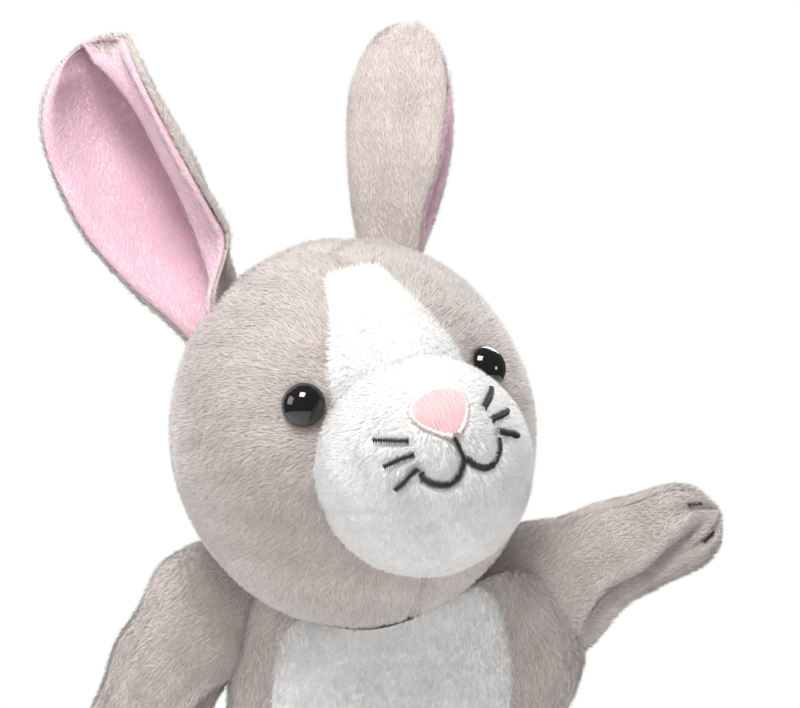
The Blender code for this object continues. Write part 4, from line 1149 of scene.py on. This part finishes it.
# %% Sleeves
ARM_PIVOT = {name: np.array(JOINTS[f"arm_{name}_raise"]["pos_m"], dtype=float) for name, _ in SIDES}
ARM_TOP = np.array(((-13.0, 7.0), (-9.0, 13.0), (0.0, 18.0), (12.0, 19.0), (26.0, 16.5), (40.0, 14.0),
                    (50.0, 13.5), (57.0, 11.5), (61.5, 7.6), (64.0, 2.0)))
ARM_FOOT = np.array(((-13.0, 5.0), (-9.0, 9.5), (0.0, 13.0), (12.0, 13.4), (26.0, 12.6), (40.0, 12.8),
                     (50.0, 13.0), (57.0, 11.5), (61.5, 7.6), (64.0, 2.0)))
SWAG = {"right": 0.0, "left": 9.0 * MM}
ARM_THICK = np.array(((-13.0, 5.0), (-9.0, 9.5), (0.0, 12.6), (12.0, 12.6), (26.0, 11.6), (40.0, 12.0),
                      (50.0, 11.6), (57.0, 9.6), (61.5, 6.2), (64.0, 1.6)))
TOP_SWELL = {"right": 1.32, "left": 1.0}


def arm_axes(name):
    """The sleeve's own frame: up across the sleeve, across it from front to back, and along it."""
    paw = middle(f"arm_{name}_front") + middle(f"arm_{name}_back")
    along = 0.5 * paw - ARM_PIVOT[name]
    along /= np.linalg.norm(along)
    up = np.array((0.0, 0.0, 1.0)) - along * along[2]
    up /= np.linalg.norm(up)
    return np.stack((up, np.cross(along, up), along), axis=1)


def arm_grid(name, turn, along, out=0.0):
    """The sleeve: an oval with its own height above and below the axis, wrinkled across its length."""
    place = along / MM
    top = curve(place, ARM_TOP) * MM
    top = top * (1.0 + (TOP_SWELL[name] - 1.0) * (1.0 - ease(place, 28.0, 60.0)))
    foot, thick = curve(place, ARM_FOOT) * MM, curve(place, ARM_THICK) * MM
    foot = foot + SWAG[name] * ease(place, 2.0, 14.0) * (1.0 - ease(place, 14.0, 34.0))
    upward = np.cos(turn)
    reach = np.where(upward > 0, top, foot)
    loose = ease(place, 2.0, 12.0) * (1.0 - ease(place, 44.0, 54.0))
    bend = place / 4.6 + 1.1 * np.sin(turn) + 0.8 * np.sin(2 * turn + 1.0)
    wrinkle = loose * (0.75 * np.sin(bend) + 0.5 * np.sin(0.57 * bend + 2.0)) * MM
    size = 1.0 + (wrinkle + out) / np.maximum(reach, 3 * MM)
    axes = arm_axes(name)
    local = np.stack((reach * size * upward, thick * size * np.sin(turn), along), axis=-1)
    return local @ axes.T + ARM_PIVOT[name]


def front_turn(name):
    """The turn at which the sleeve faces the puppet's front."""
    axes = arm_axes(name)
    return -0.5 * math.pi if axes[1, 1] > 0 else 0.5 * math.pi


TOE_TURNS = (-0.62, 0.52)


def build_arm(name):
    """The sleeve's skin from the ball in the armhole to the tip of the paw, closed at both ends."""
    turn = np.linspace(0.0, 2 * math.pi, 72, endpoint=False)[None]
    place = np.concatenate((np.linspace(-13.0, 54.0, 60), np.linspace(55.0, 64.0, 14)))[:, None] * MM
    return grid_mesh(f"arm_sleeve_{name}", arm_grid(name, turn, place + 0 * turn), around=True,
                     ends=(True, True))


def arm_coordinates(name, points):
    """Turn and distance along the sleeve for points of the puppet."""
    axes = arm_axes(name)
    local = (points - ARM_PIVOT[name]) @ axes
    return np.arctan2(local[:, 1], local[:, 0]), local[:, 2]


ARM_FOLD = np.array(((0.0, -1.3), (12.0, -1.15), (26.0, -0.75), (38.0, -0.55),
                     (50.0, -0.15), (60.0, 0.1), (64.0, 0.15)))


def arm_depth(name, points):
    """Pinched creases at each toe, the two long seams, and one long fold down the front of the sleeve."""
    turn, along = arm_coordinates(name, points)
    depth = np.zeros(len(points))
    for lean in TOE_TURNS:
        gap = np.angle(np.exp(1j * (turn - front_turn(name) - lean))) * 11 * MM
        depth += valley(gap, 1.7 * MM, 2.0 * MM) * ease(along, 42 * MM, 56 * MM)
    lean = (turn - front_turn(name)) * (-1.0 if front_turn(name) > 0 else 1.0)
    seam = np.abs(np.abs(lean) - 0.5 * math.pi + 0.25) * 12 * MM
    depth += valley(seam, 1.3 * MM, 0.9 * MM) * ease(along, 4 * MM, 16 * MM)
    path = curve(along / MM, ARM_FOLD)
    gap = (lean - path) * 13 * MM
    reach = ease(along, 6 * MM, 20 * MM) * (1.0 - ease(along, 54 * MM, 61 * MM))
    hollow = valley(gap + 1.0 * MM, 2.6 * MM, 3.4 * MM) - valley(gap - 3.4 * MM, 3.0 * MM, 1.4 * MM)
    return depth + hollow * reach


def toe_spots(name, lean):
    """Places over one toe's crease, as a line's cross and along values turned into points."""
    def place(x, z, lift=0.0):
        turn = front_turn(name) + lean + x / (11 * MM)
        spots = arm_grid(name, turn, z, -1.1 * MM + np.asarray(lift))
        axes = arm_axes(name)
        local = (spots - ARM_PIVOT[name]) @ axes
        normals = local * (1.0, 1.0, 0.0)
        normals = normals / np.linalg.norm(normals, axis=1, keepdims=True)
        return spots, normals @ axes.T
    return place


arms = []
for name, sign in SIDES:
    arm = build_arm(name)
    finish_mesh(arm, 1)
    push(arm, arm_depth(name, points_of(arm)))
    arm.data.materials.append(grey_cloth)
    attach(arm, f"arm_{name}")
    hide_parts(f"arm_{name}_front", f"arm_{name}_back")
    for number, lean in enumerate(TOE_TURNS, start=1):
        line = np.stack((np.zeros(12), np.linspace(56.5, 60.5, 12) * MM), axis=1)
        toe = satin(f"toe_satin_{name}_{number}", line, black_thread, f"arm_{name}", width=1.0 * MM,
                    seed=40 + number, place=toe_spots(name, lean), frame_of=lambda spots: spots)
        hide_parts(f"toe_stitch_{name}_{number}")
    arms.append((name, arm))
print("arms", [len(arm.data.polygons) for _, arm in arms])

# %% [markdown]
# ## Finger sleeve and bindings
#
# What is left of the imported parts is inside: the lining tube for the finger, the eye washers and the
# bound edges of the armholes. Their shapes are right as they are, so they keep them and only get the
# finish of a smooth knitted lining or of moulded plastic.

# %% Inside finishes
lining_cloth = plush("finger_lining", (0.86, 0.84, 0.82), (0.70, 0.68, 0.66), sheen=0.1)
washer_plastic = plain("washer_plastic", (0.75, 0.74, 0.72), 0.45)


def refinish(node, material):
    """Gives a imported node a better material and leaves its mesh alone."""
    mesh = frame["nodes"][node].data
    mesh.materials.clear()
    mesh.materials.append(material)


refinish("finger_sleeve", lining_cloth)
for name, _ in SIDES:
    refinish(f"eye_washer_{name}", washer_plastic)
    refinish(f"armhole_binding_{name}", lining_cloth)
print("inside finishes ready")

# %% [markdown]
# ## Pile
#
# The fibres come last, when every cloth has its final shape. Each pile is its own piece and rides with
# its cloth. Fibres are left out where another panel covers the cloth, round the eyes, under the
# stitching and inside the glove. The pile is combed down from the crown on the head, down the body,
# along each sleeve to the paw, and up each ear to its tip.

# %% Where fibres stand
def clear_of_eyes(local, radius):
    """True for head points further than a radius from both eyes."""
    gaps = [np.linalg.norm(local - skin_spot(eye), axis=1) for eye in EYE_SPOTS.values()]
    return np.minimum(*gaps) > radius


def in_muzzle(local, grow=0.0):
    """True for head points inside the muzzle ball, grown by an amount."""
    return np.linalg.norm((local - MUZZLE_CENTRE) / (MUZZLE_SEMI + grow), axis=1) < 1.0


def in_blaze(local, grow=0.0):
    """True for head points inside the blaze, its edge moved out by an amount."""
    turn, rise = head_turn_rise(local)
    wide = HEAD_SEMI[0] * np.cos(rise) * np.abs(np.sin(turn))
    return (blaze_half(rise) > 0) & (wide < blaze_half(rise) + grow) & (np.abs(turn) < 1.6)


def in_ears(points):
    """True for points of the head under the root of an ear."""
    local = to_head(points)
    found = np.zeros(len(points), dtype=bool)
    for _, sign in SIDES:
        found |= np.linalg.norm((local - EAR_BASE * (sign, 1, 1)) / (7 * MM, 9 * MM, 9 * MM), axis=1) < 1.0
    return found


def head_keep(points, _normals):
    """Grey head fibres: outside the muzzle, the blaze, the eyes, the ears' roots and the tunnel."""
    local = to_head(points)
    outside = np.linalg.norm(local / HEAD_SEMI, axis=1) > 0.93
    at_neck = np.linalg.norm(points - (NECK - HEAD_UP * 9 * MM), axis=1) < 14 * MM
    return (outside & ~in_muzzle(local, -0.3 * MM) & ~in_blaze(local, -0.2 * MM)
            & clear_of_eyes(local, 6.3 * MM) & ~in_ears(points) & ~at_neck)


def muzzle_keep(points, _normals):
    """White muzzle fibres: outside the head egg, and clear of the nose and every stitched line."""
    local = to_head(points)
    outside = np.linalg.norm(local / HEAD_SEMI, axis=1) > 0.985
    lines = np.concatenate((stitched, *[spread_along(w, 16) * (s, 1.0) for w in WHISKERS for s in (-1, 1)]))
    low, high = NOSE[0, 0] * MM, NOSE[-1, 0] * MM
    x, z = rolled(local[:, 0], local[:, 2], -FACE_ROLL)
    off_nose = ~((np.abs(x) < nose_half(np.clip(z, low, high)) + 0.6 * MM)
                 & (z > low - 1.0 * MM) & (z < high + 0.9 * MM))
    return outside & (gap_to(local, lines) > 0.9 * MM) & off_nose


def blaze_keep(points, _normals):
    """White blaze fibres: on its outer face, outside the muzzle."""
    local = to_head(points)
    outside = np.linalg.norm(local / HEAD_SEMI, axis=1) > 1.0
    return outside & ~in_muzzle(local) & in_blaze(local, 0.3 * MM)


def head_comb(points):
    """Away from the muzzle over the face and down over the back of the head."""
    local = to_head(points)
    away = local - MUZZLE_CENTRE
    away /= np.linalg.norm(away, axis=1, keepdims=True)
    return (away + np.array((0.0, 0.35, -0.55))) @ HEAD_AXES.T


def muzzle_comb(points):
    """Out from the nose over the ball."""
    local = to_head(points)
    away = local - muzzle_spot(0.0, 6 * MM)[0]
    return (away / np.linalg.norm(away, axis=1, keepdims=True)) @ HEAD_AXES.T


# %% Head pile
pile("head_pile_front", head_skin, "head", head_comb, grey_fibres, density=3.6, seed=101,
     keep=lambda p, n: head_keep(p, n) & (to_head(p)[:, 1] < 0))
pile("head_pile_back", head_skin, "head", head_comb, grey_fibres, density=3.0, seed=102,
     keep=lambda p, n: head_keep(p, n) & (to_head(p)[:, 1] >= 0))
pile("muzzle_pile", muzzle, "head", muzzle_comb, white_fibres, density=4.2, length=1.7 * MM, seed=103,
     keep=muzzle_keep)
pile("blaze_pile", blaze, "head", head_comb, white_fibres, density=4.0, length=1.8 * MM, seed=104,
     keep=blaze_keep)


# %% Ear pile
def above_head(points, _normals):
    """Ear fibres stand only where the ear is outside the head."""
    return np.linalg.norm(to_head(points) / HEAD_SEMI, axis=1) > 1.0


for name, outer, lining in ears:
    axis = HEAD_AXES @ (EAR_TIPS[name] - EAR_BASE * (dict(SIDES)[name], 1, 1))
    pile(f"ear_pile_{name}", outer, f"ear_{name}", axis, grey_fibres, density=2.8, length=1.7 * MM,
         keep=above_head, seed=110)
    pile(f"ear_pink_pile_{name}", lining, f"ear_{name}", axis, pink_fibres, density=2.8, length=1.6 * MM,
         keep=above_head, seed=112)


# %% Body pile
def in_tummy(points, grow=0.0):
    """True for body points inside the tummy panel's outline."""
    points = points - GLOVE_MIDDLE
    level = points[:, 2] / MM
    half = curve(np.clip(level, 30.0, 124.5), TUMMY) * MM
    return (np.abs(points[:, 0]) < half + grow) & (points[:, 1] < 0) & (level > 30.0) & (level < 124.5)


def outer_face(points, normals):
    """True on the bell's outer face, where the normal points away from the bell's axis."""
    points = points - GLOVE_MIDDLE
    return np.sum(points[:, :2] * normals[:, :2], axis=1) > -0.2 * np.linalg.norm(points[:, :2], axis=1)


def body_keep(points, normals):
    """Grey body fibres: on the outer face, below the neck, outside the tummy panel."""
    near_neck = np.linalg.norm(points[:, :2] - NECK[:2], axis=1) < 14 * MM
    return (outer_face(points, normals) & ~near_neck & (points[:, 2] > 2.6 * MM)
            & ~in_tummy(points, -0.3 * MM))


def body_comb(points):
    """Down the bell, with a slight wander to the sides."""
    return np.stack((0.15 * np.sin(points[:, 2] / 0.02), np.zeros(len(points)), -np.ones(len(points))), axis=1)


pile("body_pile_front", glove, "glove", body_comb, grey_fibres, density=3.0, seed=121,
     keep=lambda p, n: body_keep(p, n) & (p[:, 1] < GLOVE_MIDDLE[1]))
pile("body_pile_back", glove, "glove", body_comb, grey_fibres, density=2.6, seed=122,
     keep=lambda p, n: body_keep(p, n) & (p[:, 1] >= GLOVE_MIDDLE[1]))
pile("tummy_pile", tummy, "glove", body_comb, white_fibres, density=3.4, length=1.8 * MM, seed=123,
     keep=lambda p, n: n[:, 1] < 0.1)


# %% Arm pile
def arm_keep(name):
    """Fibres of a sleeve: outside the ball in the armhole and clear of the toes' thread."""
    def keep(points, _normals):
        turn, along = arm_coordinates(name, points)
        clear = np.ones(len(points), dtype=bool)
        for lean in TOE_TURNS:
            gap = np.abs(np.angle(np.exp(1j * (turn - front_turn(name) - lean)))) * 11 * MM
            clear &= (gap > 0.8 * MM) | (along < 52 * MM)
        return clear & (along > -8 * MM)
    return keep


for name, arm in arms:
    axes = arm_axes(name)
    pile(f"arm_pile_{name}", arm, f"arm_{name}", axes[:, 2], grey_fibres, density=3.4, length=1.9 * MM,
         keep=arm_keep(name), seed=131)

# %% [markdown]
# ## Floor and finish
#
# The floor is a thin pale disc under the hem.

# %% Floor
FLOOR_RADIUS = 0.52
ring = np.linspace(0.0, 2 * math.pi, 96, endpoint=False)
disc = np.stack((FLOOR_RADIUS * np.cos(ring), FLOOR_RADIUS * np.sin(ring), np.full(96, -0.0006)), axis=1)
disc = disc + GLOVE_MIDDLE
floor = grid_mesh("floor", np.stack((disc, disc - (0.0, 0.0, 0.004))), around=True, ends=(True, True))
floor.data.materials.append(plain("pale_floor", (0.84, 0.84, 0.84), 0.8))
